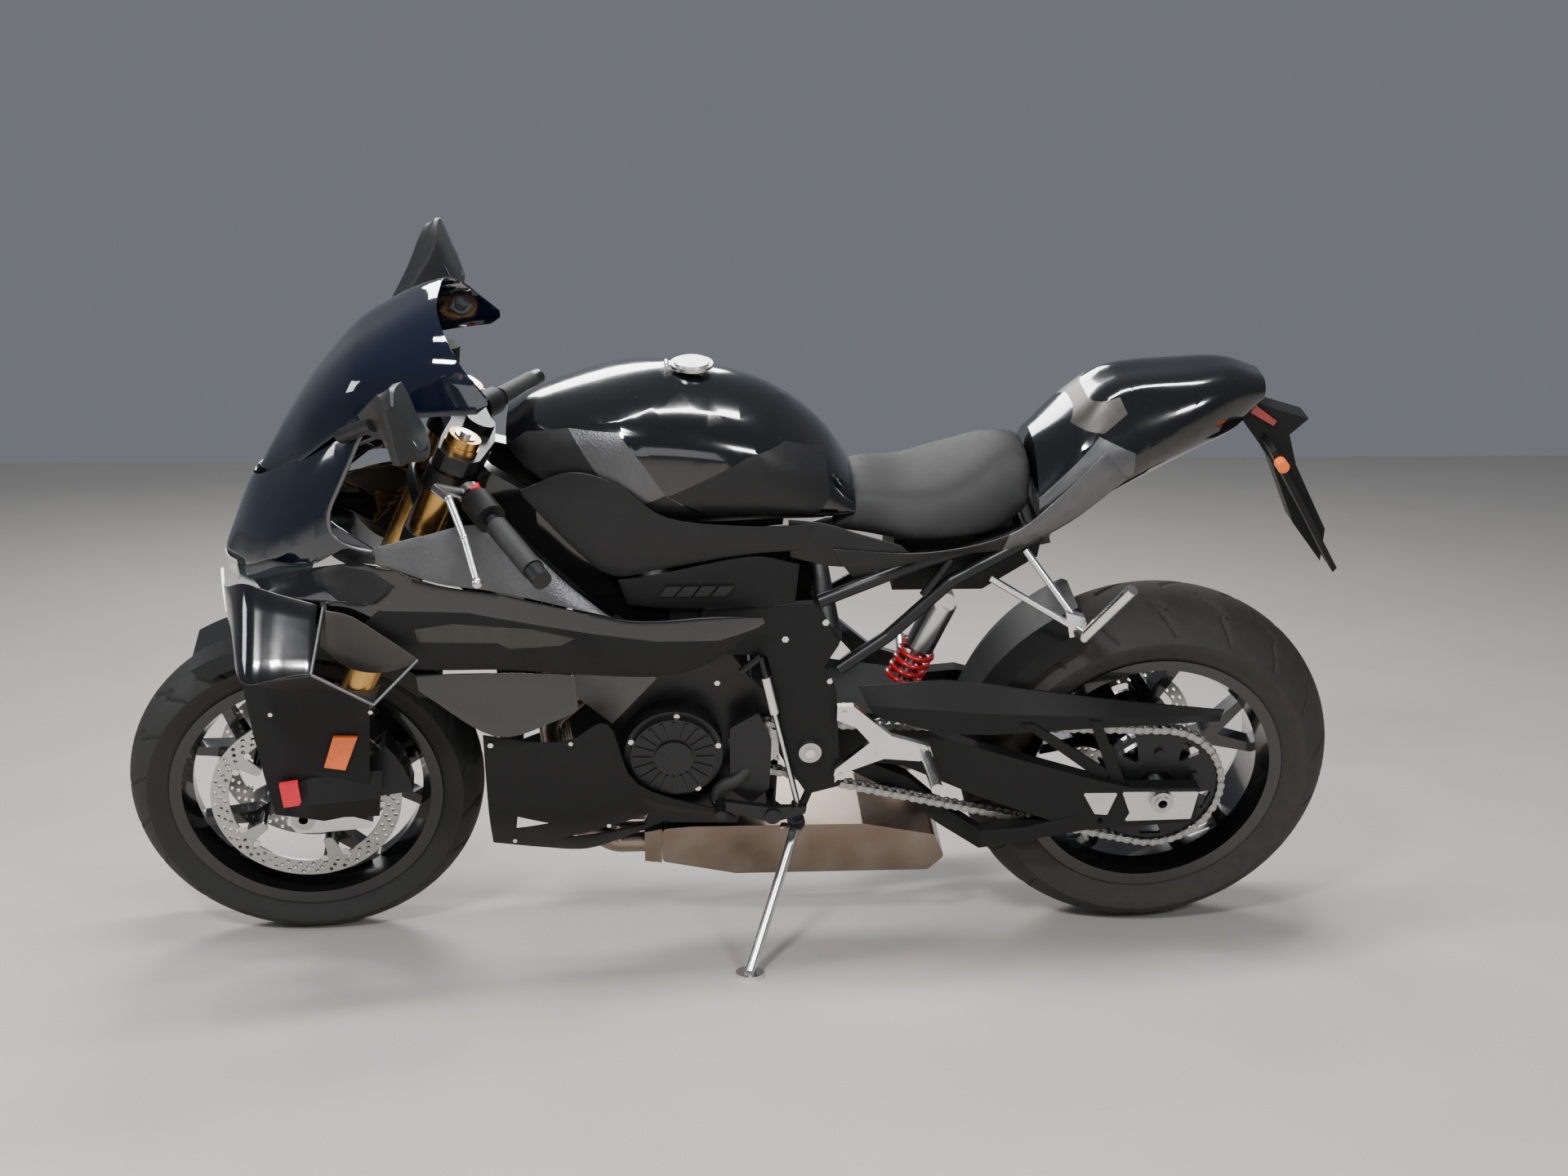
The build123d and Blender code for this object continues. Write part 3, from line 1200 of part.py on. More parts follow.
# Leaning, then a small pitch and lift put both tyres on the ground
pitch = 0
lift = 0
for i in range(4):
    REST = Pos(0, 0, lift) * Rot(0, pitch, 0) * Rot(-LEAN, 0, 0)
    front_low, rear_low = both_lowest(REST)
    pitch += math.degrees((front_low - rear_low) / (FRONT_AXLE_X - REAR_AXLE_X))
    lift -= rear_low
REST = Pos(0, 0, lift) * Rot(0, pitch, 0) * Rot(-LEAN, 0, 0)

STAND_EYE = 15
STAND_PIN = 6
FOOT_RADIUS = 24
stand_foot = (REST.inverse() * Pos(STAND_FOOT_X, STAND_FOOT_Y, 8)).position
stand_down = stand_foot - Vector(*STAND_PIVOT)
stand_up = Vector(-262, 75, -20)
STAND_AXIS = stand_down.cross(stand_up).normalized()
STAND_SWING = stand_down.get_angle(stand_up)


def stand_pin(low, high, radius, bore=0):
    """A drum on the side stand's pivot."""
    start = Vector(*STAND_PIVOT) + STAND_AXIS * low
    end = Vector(*STAND_PIVOT) + STAND_AXIS * high
    return rod(tuple(start), tuple(end), radius, bore)


stand = rod(STAND_PIVOT, tuple(stand_foot), 9)
stand -= stand_pin(-40, -7, 40) + stand_pin(7, 40, 40)
stand += stand_pin(-7, 7, STAND_EYE)
stand -= stand_pin(-40, 40, STAND_PIN + RUNNING)
stand = max(stand.solids(), key=lambda solid: solid.volume)
stand += REST.inverse() * Pos(STAND_FOOT_X, STAND_FOOT_Y, 4) * Cylinder(FOOT_RADIUS, 8)
NODES["side_stand"] = stand
bracket = stand_pin(-12, 24, STAND_PIN) + stand_pin(7 + FIT, 24, STAND_EYE)
bracket += stand_pin(-12, -7 - FIT, 10)
root = tuple(Vector(*STAND_PIVOT) + STAND_AXIS * 18)
bracket += rod(root, (600, 134, 350), 7) + rod(root, (690, 70, 300), 8)
bracket -= stand_pin(-7 - FIT, 7 + FIT, STAND_EYE + 4) - stand_pin(-8, 8, STAND_PIN)
bracket -= NODES["engine_block"]
NODES["main_frame"] += max(bracket.solids(), key=lambda solid: solid.volume)
NODES["exhaust_box"] = NODES["exhaust_box"] - stand_pin(-30, 30, 30)

# Everything in place: steered parts turned, then the whole bike leaned and centred
placed = {}
for name, shape in NODES.items():
    if name in STEERED or name in FRONT_WHEEL:
        shape = TURN * shape
    placed[name] = REST * shape
whole = Compound(children=list(placed.values())).bounding_box()
SHIFT = Pos(-(whole.min.X + whole.max.X) / 2, -(whole.min.Y + whole.max.Y) / 2, 0)
os.makedirs("parts", exist_ok=True)
for name, shape in placed.items():
    solids = (SHIFT * shape).solids()
    export_step(Compound(children=solids), f"parts/{name}.step")
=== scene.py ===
import json
import math

import bmesh
import bpy
import numpy as np
from mathutils import Matrix, Vector


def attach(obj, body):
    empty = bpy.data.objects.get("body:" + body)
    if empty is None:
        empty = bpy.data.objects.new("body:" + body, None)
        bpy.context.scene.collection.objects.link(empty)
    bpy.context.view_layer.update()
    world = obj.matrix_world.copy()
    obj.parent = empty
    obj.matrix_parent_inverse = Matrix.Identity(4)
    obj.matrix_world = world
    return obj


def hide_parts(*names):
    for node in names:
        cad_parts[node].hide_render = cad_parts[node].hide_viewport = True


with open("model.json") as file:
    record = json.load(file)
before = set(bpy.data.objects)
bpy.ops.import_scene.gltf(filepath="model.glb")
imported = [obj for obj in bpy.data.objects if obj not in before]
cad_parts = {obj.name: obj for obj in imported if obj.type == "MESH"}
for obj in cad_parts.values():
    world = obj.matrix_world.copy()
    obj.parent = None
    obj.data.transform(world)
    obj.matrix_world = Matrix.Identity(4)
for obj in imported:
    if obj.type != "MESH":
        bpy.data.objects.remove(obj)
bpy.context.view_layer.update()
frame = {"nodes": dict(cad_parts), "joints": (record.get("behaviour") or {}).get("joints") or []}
NODES = frame["nodes"]
JOINTS = {joint["name"]: joint for joint in frame["joints"]}

# The bike's own upright frame, in metres: origin on the ground under the rear axle, X forward,
# Y to the rider's left. REST leans it onto its stand, and TURNED also turns the steered parts.
REAR_AXLE = Vector((0.0001, 0, 0.32585))
FRONT_AXLE = Vector((1.45702, 0, 0.29998))
HEAD_POINT = Vector((1.1746, 0, 0.875))
RAKE = math.radians(23.6)
NOSE_DOWN = math.radians(0.093)
SIDE_LEAN = math.radians(-14)
STEER_ANGLE = math.radians(2.8)
LEAN = Matrix.Rotation(NOSE_DOWN, 4, "Y") @ Matrix.Rotation(SIDE_LEAN, 4, "X")
REAR_POINT = Vector(JOINTS["rear_wheel_spin"]["pos_m"])
REST = Matrix.Translation(REAR_POINT - LEAN @ REAR_AXLE) @ LEAN
FORK_UP = Vector((-math.sin(RAKE), 0, math.cos(RAKE)))
TURNED = (
    REST
    @ Matrix.Translation(HEAD_POINT)
    @ Matrix.Rotation(STEER_ANGLE, 4, FORK_UP)
    @ Matrix.Translation(-HEAD_POINT)
)
# The fork's own frame, with its origin on the front axle and Z up the tubes
FORK = Matrix.Translation(FRONT_AXLE) @ Matrix.Rotation(-RAKE, 4, "Y")

# Camera: place and turn worked out from the wheels in the photograph
camera_data = bpy.data.cameras.new("camera")
camera = bpy.data.objects.new("camera", camera_data)
bpy.context.scene.collection.objects.link(camera)
bpy.context.scene.camera = camera
SENSOR_WIDTH = 36
FOCAL_PIXELS = 2549.93
PHOTO_WIDTH = 1920
camera_data.sensor_width = SENSOR_WIDTH
camera_data.lens = FOCAL_PIXELS / PHOTO_WIDTH * SENSOR_WIDTH
YAW, PITCH, ROLL = -0.0747, -0.235, 0.008
ahead = Vector(
    (math.sin(YAW) * math.cos(PITCH), -math.cos(YAW) * math.cos(PITCH), math.sin(PITCH))
)
right = ahead.cross(Vector((0, 0, 1))).normalized()
up = right.cross(ahead)
right_rolled = right * math.cos(ROLL) + up * math.sin(ROLL)
up_rolled = up * math.cos(ROLL) - right * math.sin(ROLL)
axes = Matrix((right_rolled, up_rolled, -ahead)).transposed().to_4x4()
CAMERA_FROM_REAR_AXLE = Vector((0.897007, 3.473112, 1.136836))
camera.matrix_world = Matrix.Translation(REAR_POINT + CAMERA_FROM_REAR_AXLE) @ axes


# Materials
COAT_ROUGHNESS = 0.04
FLAKE_SCALE = 1400
BUMP_DISTANCE = 0.0006


def material(
    name, color, rough=0.4, metallic=0.0, coat=0.0, spread=0.12, bump=0.0, scale=60.0,
    second=None, flake=0.0, grain=0.0, weave=None, specular=0.5, alpha=1.0, glow=0.0,
):
    """A procedural material: soft colour and roughness variation, then flake, grain or bump."""
    made = bpy.data.materials.new(name)
    made.use_nodes = True
    nodes = made.node_tree.nodes
    links = made.node_tree.links
    shader = nodes["Principled BSDF"]
    shader.inputs["Metallic"].default_value = metallic
    shader.inputs["Coat Weight"].default_value = coat
    shader.inputs["Coat Roughness"].default_value = COAT_ROUGHNESS
    shader.inputs["Specular IOR Level"].default_value = specular
    shader.inputs["Alpha"].default_value = alpha
    if glow:
        shader.inputs["Emission Color"].default_value = (*color, 1)
        shader.inputs["Emission Strength"].default_value = glow
    coords = nodes.new("ShaderNodeTexCoord")
    noise = nodes.new("ShaderNodeTexNoise")
    noise.inputs["Scale"].default_value = scale
    noise.inputs["Detail"].default_value = 6
    links.new(coords.outputs["Object"], noise.inputs["Vector"])
    ramp = nodes.new("ShaderNodeMapRange")
    ramp.inputs["To Min"].default_value = max(rough - spread / 2, 0.02)
    ramp.inputs["To Max"].default_value = min(rough + spread / 2, 1)
    links.new(noise.outputs["Fac"], ramp.inputs["Value"])
    links.new(ramp.outputs["Result"], shader.inputs["Roughness"])
    mix = nodes.new("ShaderNodeMix")
    mix.data_type = "RGBA"
    if second is None:
        second = [value * 1.35 + 0.002 for value in color]
    mix.inputs["A"].default_value = (*color, 1)
    mix.inputs["B"].default_value = (*second, 1)
    factor = noise.outputs["Fac"]
    height = None
    if flake:
        cells = nodes.new("ShaderNodeTexVoronoi")
        cells.inputs["Scale"].default_value = FLAKE_SCALE
        links.new(coords.outputs["Object"], cells.inputs["Vector"])
        pick = nodes.new("ShaderNodeMapRange")
        pick.inputs["From Min"].default_value = 1 - flake
        pick.inputs["From Max"].default_value = 1
        links.new(cells.outputs["Color"], pick.inputs["Value"])
        factor = pick.outputs["Result"]
    if weave:
        cells = nodes.new("ShaderNodeTexVoronoi")
        cells.inputs["Scale"].default_value = weave
        links.new(coords.outputs["Object"], cells.inputs["Vector"])
        height = cells.outputs["Distance"]
    elif grain:
        fine = nodes.new("ShaderNodeTexNoise")
        fine.inputs["Scale"].default_value = grain
        fine.inputs["Detail"].default_value = 3
        links.new(coords.outputs["Object"], fine.inputs["Vector"])
        height = fine.outputs["Fac"]
    links.new(factor, mix.inputs["Factor"])
    links.new(mix.outputs["Result"], shader.inputs["Base Color"])
    if bump:
        lift = nodes.new("ShaderNodeBump")
        lift.inputs["Strength"].default_value = bump
        lift.inputs["Distance"].default_value = BUMP_DISTANCE
        links.new(height or noise.outputs["Fac"], lift.inputs["Height"])
        links.new(lift.outputs["Normal"], shader.inputs["Normal"])
    return made


GLOSS = material(
    "gloss_flake", (0.003, 0.003, 0.004), 0.14, 0.1, 1, 0.05, second=(0.16, 0.16, 0.18), flake=0.05
)
NAVY = material(
    "gloss_blue_black", (0.002, 0.003, 0.008), 0.1, 0, 1, 0.03, second=(0.003, 0.005, 0.012)
)
SATIN = material("satin_plastic", (0.008, 0.008, 0.0085), 0.44, bump=0.1, grain=900, specular=0.32)
MATTE = material("matte_plastic", (0.005, 0.005, 0.0052), 0.55, bump=0.2, grain=1400, specular=0.25)
BLACK_METAL = material("black_coated_metal", (0.009, 0.009, 0.01), 0.34, 0.3, bump=0.15, grain=700)
BEAM_BLACK = material("frame_lacquer", (0.003, 0.003, 0.0035), 0.15, 0.1, 0.9, 0.06)
WHEEL_BLACK = material("wheel_lacquer", (0.003, 0.003, 0.0035), 0.2, 0.1, 0.8, 0.06)
GREY = material("grey_lacquer", (0.1, 0.1, 0.103), 0.34, 0.75, 0.3, bump=0.05, grain=1600)
BRONZE = material("bronze_grey", (0.045, 0.041, 0.037), 0.4, 0.6, bump=0.06, grain=1500)
SCALE = material("scale_pattern", (0.085, 0.085, 0.088), 0.38, 0.6, bump=0.6, weave=260)
GOLD = material("gold_tube", (0.5, 0.29, 0.09), 0.26, 1, bump=0.04, grain=500)
ALUMINIUM = material("aluminium", (0.55, 0.55, 0.54), 0.3, 1, bump=0.08, grain=800)
POLISHED = material("polished_aluminium", (0.66, 0.66, 0.65), 0.22, 1, spread=0.14, scale=30)
STEEL = material("steel", (0.42, 0.42, 0.41), 0.32, 1, spread=0.2, scale=90)
DISC_STEEL = material("disc_steel", (0.44, 0.43, 0.41), 0.36, 1, spread=0.2, scale=200)
CHAIN_STEEL = material("chain_steel", (0.3, 0.3, 0.29), 0.4, 1, spread=0.2, scale=250)
TINTED = material(
    "heat_tinted_steel", (0.19, 0.12, 0.07), 0.32, 1, spread=0.2, scale=14, second=(0.36, 0.31, 0.27)
)
CAST = material("cast_grey", (0.1, 0.1, 0.097), 0.5, 0.8, bump=0.4, grain=900)
TYRE = material(
    "tyre_rubber", (0.009, 0.009, 0.009), 0.7, bump=0.3, grain=600, second=(0.016, 0.016, 0.015)
)
DUSTY = material(
    "dusty_tread", (0.014, 0.013, 0.012), 0.78, bump=0.3, grain=500, second=(0.036, 0.032, 0.027)
)
RUBBER = material("grip_rubber", (0.009, 0.009, 0.009), 0.62, bump=0.5, weave=700)
VINYL = material("seat_vinyl", (0.01, 0.01, 0.01), 0.6, bump=0.3, grain=1100, specular=0.2)
SCREEN = material(
    "tinted_screen", (0.001, 0.003, 0.009), 0.05, 0, 1, 0.03, second=(0.002, 0.004, 0.012), alpha=0.93
)
LENS = material(
    "clear_lens",
    (0.05, 0.06, 0.07),
    0.06,
    coat=1,
    spread=0.04,
    second=(0.07, 0.08, 0.09),
    alpha=0.5,
    specular=0.8,
)
GLASS_DARK = material("display_glass", (0.003, 0.0035, 0.004), 0.08, 0, 1, 0.04)
MIRROR = material("mirror_glass", (0.6, 0.61, 0.62), 0.04, 1, spread=0.02)
ORANGE = material("orange_lens", (0.72, 0.11, 0.0), 0.2, 0, 0.8, bump=0.6, weave=420)
RED = material("red_lacquer", (0.42, 0.006, 0.01), 0.22, 0, 0.8, 0.06)
RED_PART = material("red_plastic", (0.6, 0.01, 0.03), 0.35, bump=0.05, grain=900)
WHITE_LAMP = material("white_lamp", (0.85, 0.9, 0.86), 0.3, glow=1.2)
PALE = material("pale_grey", (0.42, 0.42, 0.4), 0.36, 0.2, 0.3)
TAIL_LENS = material("tail_lens", (0.25, 0.01, 0.01), 0.15, 0, 1, 0.05, alpha=0.85)

# The material of each CAD node
NODE_MATERIALS = (
    (GLOSS, ("fuel_tank", "tail_cowl", "winglets")),
    (WHEEL_BLACK, ("front_rim", "rear_rim")),
    (
        MATTE,
        (
            "main_frame", "side_fairings", "fender_side_covers", "rear_hugger", "undertray",
            "plate_holder", "belly_pan", "chain_guard", "bar_controls", "swingarm",
        ),
    ),
    (NAVY, ("nose_cowl",)),
    (SATIN, ("side_covers", "front_fender", "mirrors")),
    (
        BLACK_METAL,
        (
            "lower_yoke", "upper_yoke", "handlebars", "radiator", "engine_block", "engine_covers",
            "front_calipers", "rear_caliper", "rear_sprocket", "subframe", "foot_controls",
        ),
    ),
    (GREY, ("tail_side_panels",)),
    (GOLD, ("fork_tubes",)),
    (POLISHED, ("fork_legs", "side_stand", "rider_footrests", "passenger_footrests")),
    (ALUMINIUM, ("chain_adjusters", "filler_cap", "levers", "shock_absorber")),
    (STEEL, ("front_axle", "rear_axle", "swingarm_pivot_bolt", "front_sprocket")),
    (DISC_STEEL, ("front_brake_discs", "rear_brake_disc")),
    (CHAIN_STEEL, ("drive_chain",)),
    (TINTED, ("exhaust_headers", "exhaust_box", "silencer")),
    (CAST, ("cylinder_head",)),
    (TYRE, ("front_tyre", "rear_tyre")),
    (RUBBER, ("grips",)),
    (VINYL, ("seat",)),
    (SCREEN, ("windscreen",)),
    (LENS, ("lamps",)),
    (GLASS_DARK, ("instrument_display",)),
    (ORANGE, ("reflectors",)),
    (RED, ("shock_spring",)),
)


def soften(piece, width=0.0012):
    """Rounds the sharp edges of a piece."""
    bevel = piece.modifiers.new("edges", "BEVEL")
    bevel.width = width
    bevel.segments = 2
    bevel.limit_method = "ANGLE"
    bevel.angle_limit = math.radians(32)
    bevel.use_clamp_overlap = True
    bevel.harden_normals = True


for made, names in NODE_MATERIALS:
    for name in names:
        NODES[name].data.materials.clear()
        NODES[name].data.materials.append(made)
        soften(NODES[name])


# Mesh helpers, all in the upright frame and in millimetres
def mesh_of(vertices, faces, outward=None):
    """A mesh whose faces look outward: away from the middle, or along a given direction."""
    mesh = bpy.data.meshes.new("shape")
    mesh.from_pydata([tuple(value / 1000 for value in v) for v in vertices], [], faces)
    work = bmesh.new()
    work.from_mesh(mesh)
    bmesh.ops.recalc_face_normals(work, faces=work.faces)
    if outward is not None:
        facing = sum(f.normal.dot(Vector(outward)) * f.calc_area() for f in work.faces)
        if facing < 0:
            bmesh.ops.reverse_faces(work, faces=work.faces)
    work.to_mesh(mesh)
    work.free()
    return mesh


def joined(meshes):
    """Several meshes as one."""
    whole = bmesh.new()
    for mesh in meshes:
        whole.from_mesh(mesh)
        bpy.data.meshes.remove(mesh)
    result = bpy.data.meshes.new("shape")
    whole.to_mesh(result)
    whole.free()
    return result


def place(name, mesh, made, body, nodes=(), turned=False, smooth=True):
    """Adds a mesh as a piece on a body, in place of the given CAD nodes."""
    piece = bpy.data.objects.new(name, mesh)
    bpy.context.scene.collection.objects.link(piece)
    mesh.materials.clear()
    mesh.materials.append(made)
    if smooth:
        mesh.shade_smooth()
        mesh.set_sharp_from_angle(angle=math.radians(40))
    else:
        mesh.shade_flat()
    piece.matrix_world = TURNED if turned else REST
    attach(piece, body)
    if nodes:
        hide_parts(*nodes)
    return piece


def through(points, steps):
    """Points on a smooth curve that passes through the given ones."""
    points = np.array(points, float)
    first = 2 * points[0] - points[1]
    last = 2 * points[-1] - points[-2]
    padded = np.vstack([first, points, last])
    curve = []
    for i in range(len(points) - 1):
        a, b, c, d = padded[i : i + 4]
        square = 2 * a - 5 * b + 4 * c - d
        cube = 3 * b - a - 3 * c + d
        for t in np.arange(steps) / steps:
            curve.append(0.5 * (2 * b + (c - a) * t + square * t**2 + cube * t**3))
    curve.append(points[-1])
    return np.array(curve)


def resampled(rows, across, along):
    """Rows of points made dense: smooth across each row, then along the rows."""
    dense = np.array([through(row, across) for row in rows])
    return np.array([through(dense[:, j], along) for j in range(dense.shape[1])]).transpose(1, 0, 2)


def sheet_faces(count_rows, count, closed=False):
    """The faces between neighbouring rows of points."""
    faces = []
    for i in range(count_rows - 1):
        for j in range(count if closed else count - 1):
            k = (j + 1) % count
            faces.append((i * count + j, i * count + k, (i + 1) * count + k, (i + 1) * count + j))
    return faces


def surface(rows, outward, across=4, along=5, closed=False, caps=False):
    """A smooth skin through rows of points, closed into a loop or capped at its ends."""
    rows = resampled(rows, across, along)
    count = rows.shape[1]
    if closed:
        rows = rows[:, :-1]
        count -= 1
    faces = sheet_faces(len(rows), count, closed)
    if caps:
        faces.append(tuple(range(count)))
        faces.append(tuple((len(rows) - 1) * count + j for j in range(count)))
    return mesh_of(rows.reshape(-1, 3).tolist(), faces, outward)


PANEL_WALL = 3
SCREEN_WALL = 2.6


def shell(piece, wall=PANEL_WALL):
    """Gives a panel its thickness and rounded edges."""
    solid = piece.modifiers.new("wall", "SOLIDIFY")
    solid.thickness = wall / 1000
    solid.offset = -1
    bevel = piece.modifiers.new("edges", "BEVEL")
    bevel.width = min(wall / 3000, 0.001)
    bevel.segments = 2
    bevel.limit_method = "ANGLE"
    bevel.angle_limit = math.radians(50)


def panel_rows(sections, push):
    """Rows of points from sections of (top, bottom, outs): the (x, z) of both ends, and how far
    out the skin lies at even steps between them."""
    rows = []
    for top, bottom, outs in sections:
        steps = [i / (len(outs) - 1) for i in range(len(outs))]
        rows.append(
            [
                (top[0] + (bottom[0] - top[0]) * t, y + push, top[1] + (bottom[1] - top[1]) * t)
                for t, y in zip(steps, outs)
            ]
        )
    return rows


def panel_mesh(sections, push=0):
    """A curved side panel and its mirror image, through sections of (top, bottom, outs)."""
    rows = panel_rows(sections, push)
    meshes = []
    for side in (1, -1):
        flipped = [[(x, y * side, z) for x, y, z in row] for row in rows]
        meshes.append(surface(flipped, (0, side, 0)))
    return joined(meshes)


def panel(name, sections, made, nodes=(), push=0):
    """A pair of side panels on the chassis, with their thickness."""
    shell(place(name, panel_mesh(sections, push), made, "chassis", nodes))


def inside(outline, x, z):
    """True if a point lies in a side outline."""
    hit = False
    for (x0, z0), (x1, z1) in zip(outline, outline[1:] + outline[:1]):
        if (z0 > z) != (z1 > z) and x < x0 + (x1 - x0) * (z - z0) / (z1 - z0):
            hit = not hit
    return hit


def parted(mesh, outline):
    """Cuts a mesh along a side outline of (x, z) into the part outside it and the part inside."""
    work = bmesh.new()
    work.from_mesh(mesh)
    for (x0, z0), (x1, z1) in zip(outline, outline[1:] + outline[:1]):
        bmesh.ops.bisect_plane(
            work,
            geom=work.verts[:] + work.edges[:] + work.faces[:],
            plane_co=(x0 / 1000, 0, z0 / 1000),
            plane_no=Vector((z1 - z0, 0, x0 - x1)).normalized(),
        )
    parts = []
    for wanted in (False, True):
        half = work.copy()
        gone = []
        for face in half.faces:
            centre = face.calc_center_median() * 1000
            if inside(outline, centre.x, centre.z) != wanted:
                gone.append(face)
        bmesh.ops.delete(half, geom=gone, context="FACES")
        result = bpy.data.meshes.new("shape")
        half.to_mesh(result)
        half.free()
        parts.append(result)
    work.free()
    return parts


def recast(node):
    """The mesh of a CAD node in the upright frame."""
    mesh = NODES[node].data.copy()
    mesh.transform(REST.inverted() @ NODES[node].matrix_world)
    return mesh


def hull_mesh(sections):
    """A rounded body through sections at one x each: (y, z) up the left half, mirrored."""
    rows = []
    for x, left in sections:
        right = [(-y, z) for y, z in reversed(left) if y > 0]
        loop = left + right + left[:1]
        rows.append([(x, y, z) for y, z in loop])
    return surface(rows, None, closed=True, caps=True)


def prism(outline, y_low, y_high):
    """A flat plate from a side outline of (x, z)."""
    count = len(outline)
    vertices = [(x, y_low, z) for x, z in outline] + [(x, y_high, z) for x, z in outline]
    faces = [tuple(range(count)), tuple(range(count, 2 * count))]
    faces += [(i, (i + 1) % count, count + (i + 1) % count, count + i) for i in range(count)]
    return mesh_of(vertices, faces)


def drum(x, z, radius, y_low, y_high, sides):
    """A flat-sided disc whose axis runs across the bike."""
    angles = [2 * math.pi * i / sides for i in range(sides)]
    return prism([(x + radius * math.cos(a), z + radius * math.sin(a)) for a in angles], y_low, y_high)


def around(x, z, angle, outline):
    """A side outline of (outward, along) points, turned to an angle about (x, z)."""
    c, s = math.cos(angle), math.sin(angle)
    return [(x + r * c - t * s, z + r * s + t * c) for r, t in outline]


def tube(name, points, radius, made, nodes=()):
    """A hose, tube or wire on the chassis, along a smooth curve."""
    line = bpy.data.curves.new(name, "CURVE")
    line.dimensions = "3D"
    line.bevel_depth = radius / 1000
    line.bevel_resolution = 3
    line.use_fill_caps = True
    spline = line.splines.new("NURBS")
    spline.points.add(len(points) - 1)
    for point, place_mm in zip(spline.points, points):
        point.co = (*[value / 1000 for value in place_mm], 1)
    spline.order_u = 3
    spline.use_endpoint_u = True
    holder = bpy.data.objects.new(name, line)
    bpy.context.scene.collection.objects.link(holder)
    mesh = bpy.data.meshes.new_from_object(holder)
    bpy.data.objects.remove(holder)
    place(name, mesh, made, "chassis", nodes)


# Tyres with tread cut into a dense surface
FRONT_X, FRONT_Z = 1457.02, 299.98
REAR_X, REAR_Z = 0.08, 325.85
BEAD_RADIUS = 216
RIM_RADIUS = 229
CROWN_STEPS = 41
TYRE_STEPS = 720
GROOVE_DEPTH = 5.0
GROOVE_EDGE = 1.4


def tyre(name, x, z, radius, width, rim_width, share, made, body, node, turned, pitch, strokes):
    """A tyre whose crown carries grooves, repeated at each pitch. strokes holds, for each groove,
    the share of the pitch and of the half width at its start and at its end, and its width."""
    half = width / 2
    bead = rim_width / 2 - 5.3
    crown = radius - share * (radius - BEAD_RADIUS)
    rise = radius - crown
    arc_radius = (half**2 + rise**2) / 2 / rise
    reach = math.asin(half / arc_radius)
    profile = []
    for i in range(CROWN_STEPS):
        s = -1 + 2 * i / (CROWN_STEPS - 1)
        a = s * reach
        profile.append((arc_radius * math.sin(a), radius - arc_radius * (1 - math.cos(a)), s))
    seat_radius, lip_radius, wall_radius = BEAD_RADIUS + 0.4, RIM_RADIUS + 3, crown - 16
    low = [(-bead, seat_radius, None), (-bead - 1, lip_radius, None), (-half + 4, wall_radius, None)]
    high = [(half - 4, wall_radius, None), (bead + 1, lip_radius, None), (bead, seat_radius, None)]
    profile = low + profile + high
    step = 2 * math.pi / TYRE_STEPS
    vertices = []
    for i in range(TYRE_STEPS):
        angle = i * step
        for y, r, s in profile:
            depth = 0
            if s is not None:
                u = (angle % pitch) / pitch
                for u0, v0, u1, v1, groove in strokes:
                    for shift in (-1, 0, 1):
                        ax, ay = (u0 + shift) * pitch * radius, v0 * half
                        bx, by = (u1 + shift) * pitch * radius, v1 * half
                        px, py = u * pitch * radius, s * half
                        t = ((px - ax) * (bx - ax) + (py - ay) * (by - ay)) / (
                            (bx - ax) ** 2 + (by - ay) ** 2
                        )
                        t = min(max(t, 0), 1)
                        gap = math.hypot(px - ax - t * (bx - ax), py - ay - t * (by - ay))
                        depth = max(depth, GROOVE_DEPTH * min(max((groove - gap) / GROOVE_EDGE, 0), 1))
            r -= depth
            vertices.append((x + r * math.cos(angle), y, z + r * math.sin(angle)))
    count = len(profile)
    faces = []
    for i in range(TYRE_STEPS):
        n = (i + 1) % TYRE_STEPS
        for j in range(count - 1):
            faces.append((i * count + j, i * count + j + 1, n * count + j + 1, n * count + j))
    place(name, mesh_of(vertices, faces), made, body, (node,), turned)


FRONT_STROKES = (
    (0.05, 0.1, 0.5, 0.5, 3.6),
    (0.3, 0.5, 0.62, 0.92, 3.4),
    (0.55, -0.1, 1.0, -0.5, 3.6),
    (0.8, -0.5, 1.12, -0.92, 3.4),
)
REAR_STROKES = (
    (0.05, 0.12, 0.5, 0.42, 4.2),
    (0.4, 0.5, 0.62, 0.86, 4.0),
    (0.55, -0.12, 1.0, -0.42, 4.2),
    (0.9, -0.5, 1.12, -0.86, 4.0),
)
tyre(
    "front_tyre_tread",
    FRONT_X,
    FRONT_Z,
    radius=299.6,
    width=119.4,
    rim_width=100,
    share=0.42,
    made=TYRE,
    body="front_wheel",
    node="front_tyre",
    turned=True,
    pitch=math.radians(18),
    strokes=FRONT_STROKES,
)
tyre(
    "rear_tyre_tread",
    REAR_X,
    REAR_Z,
    radius=325.6,
    width=199.4,
    rim_width=166,
    share=0.5,
    made=DUSTY,
    body="rear_wheel",
    node="rear_tyre",
    turned=False,
    pitch=math.radians(20),
    strokes=REAR_STROKES,
)


# Brake discs: drilled rings, lugs and silver buttons
HOLE_RADIUS = 3.6
HOLE_STAGGER = 0.37
FRONT_DISC_FACES = (57.6, 62.4)
BUTTON_FACE = 64
REAR_DISC_FACES = (-98.4, -93.6)


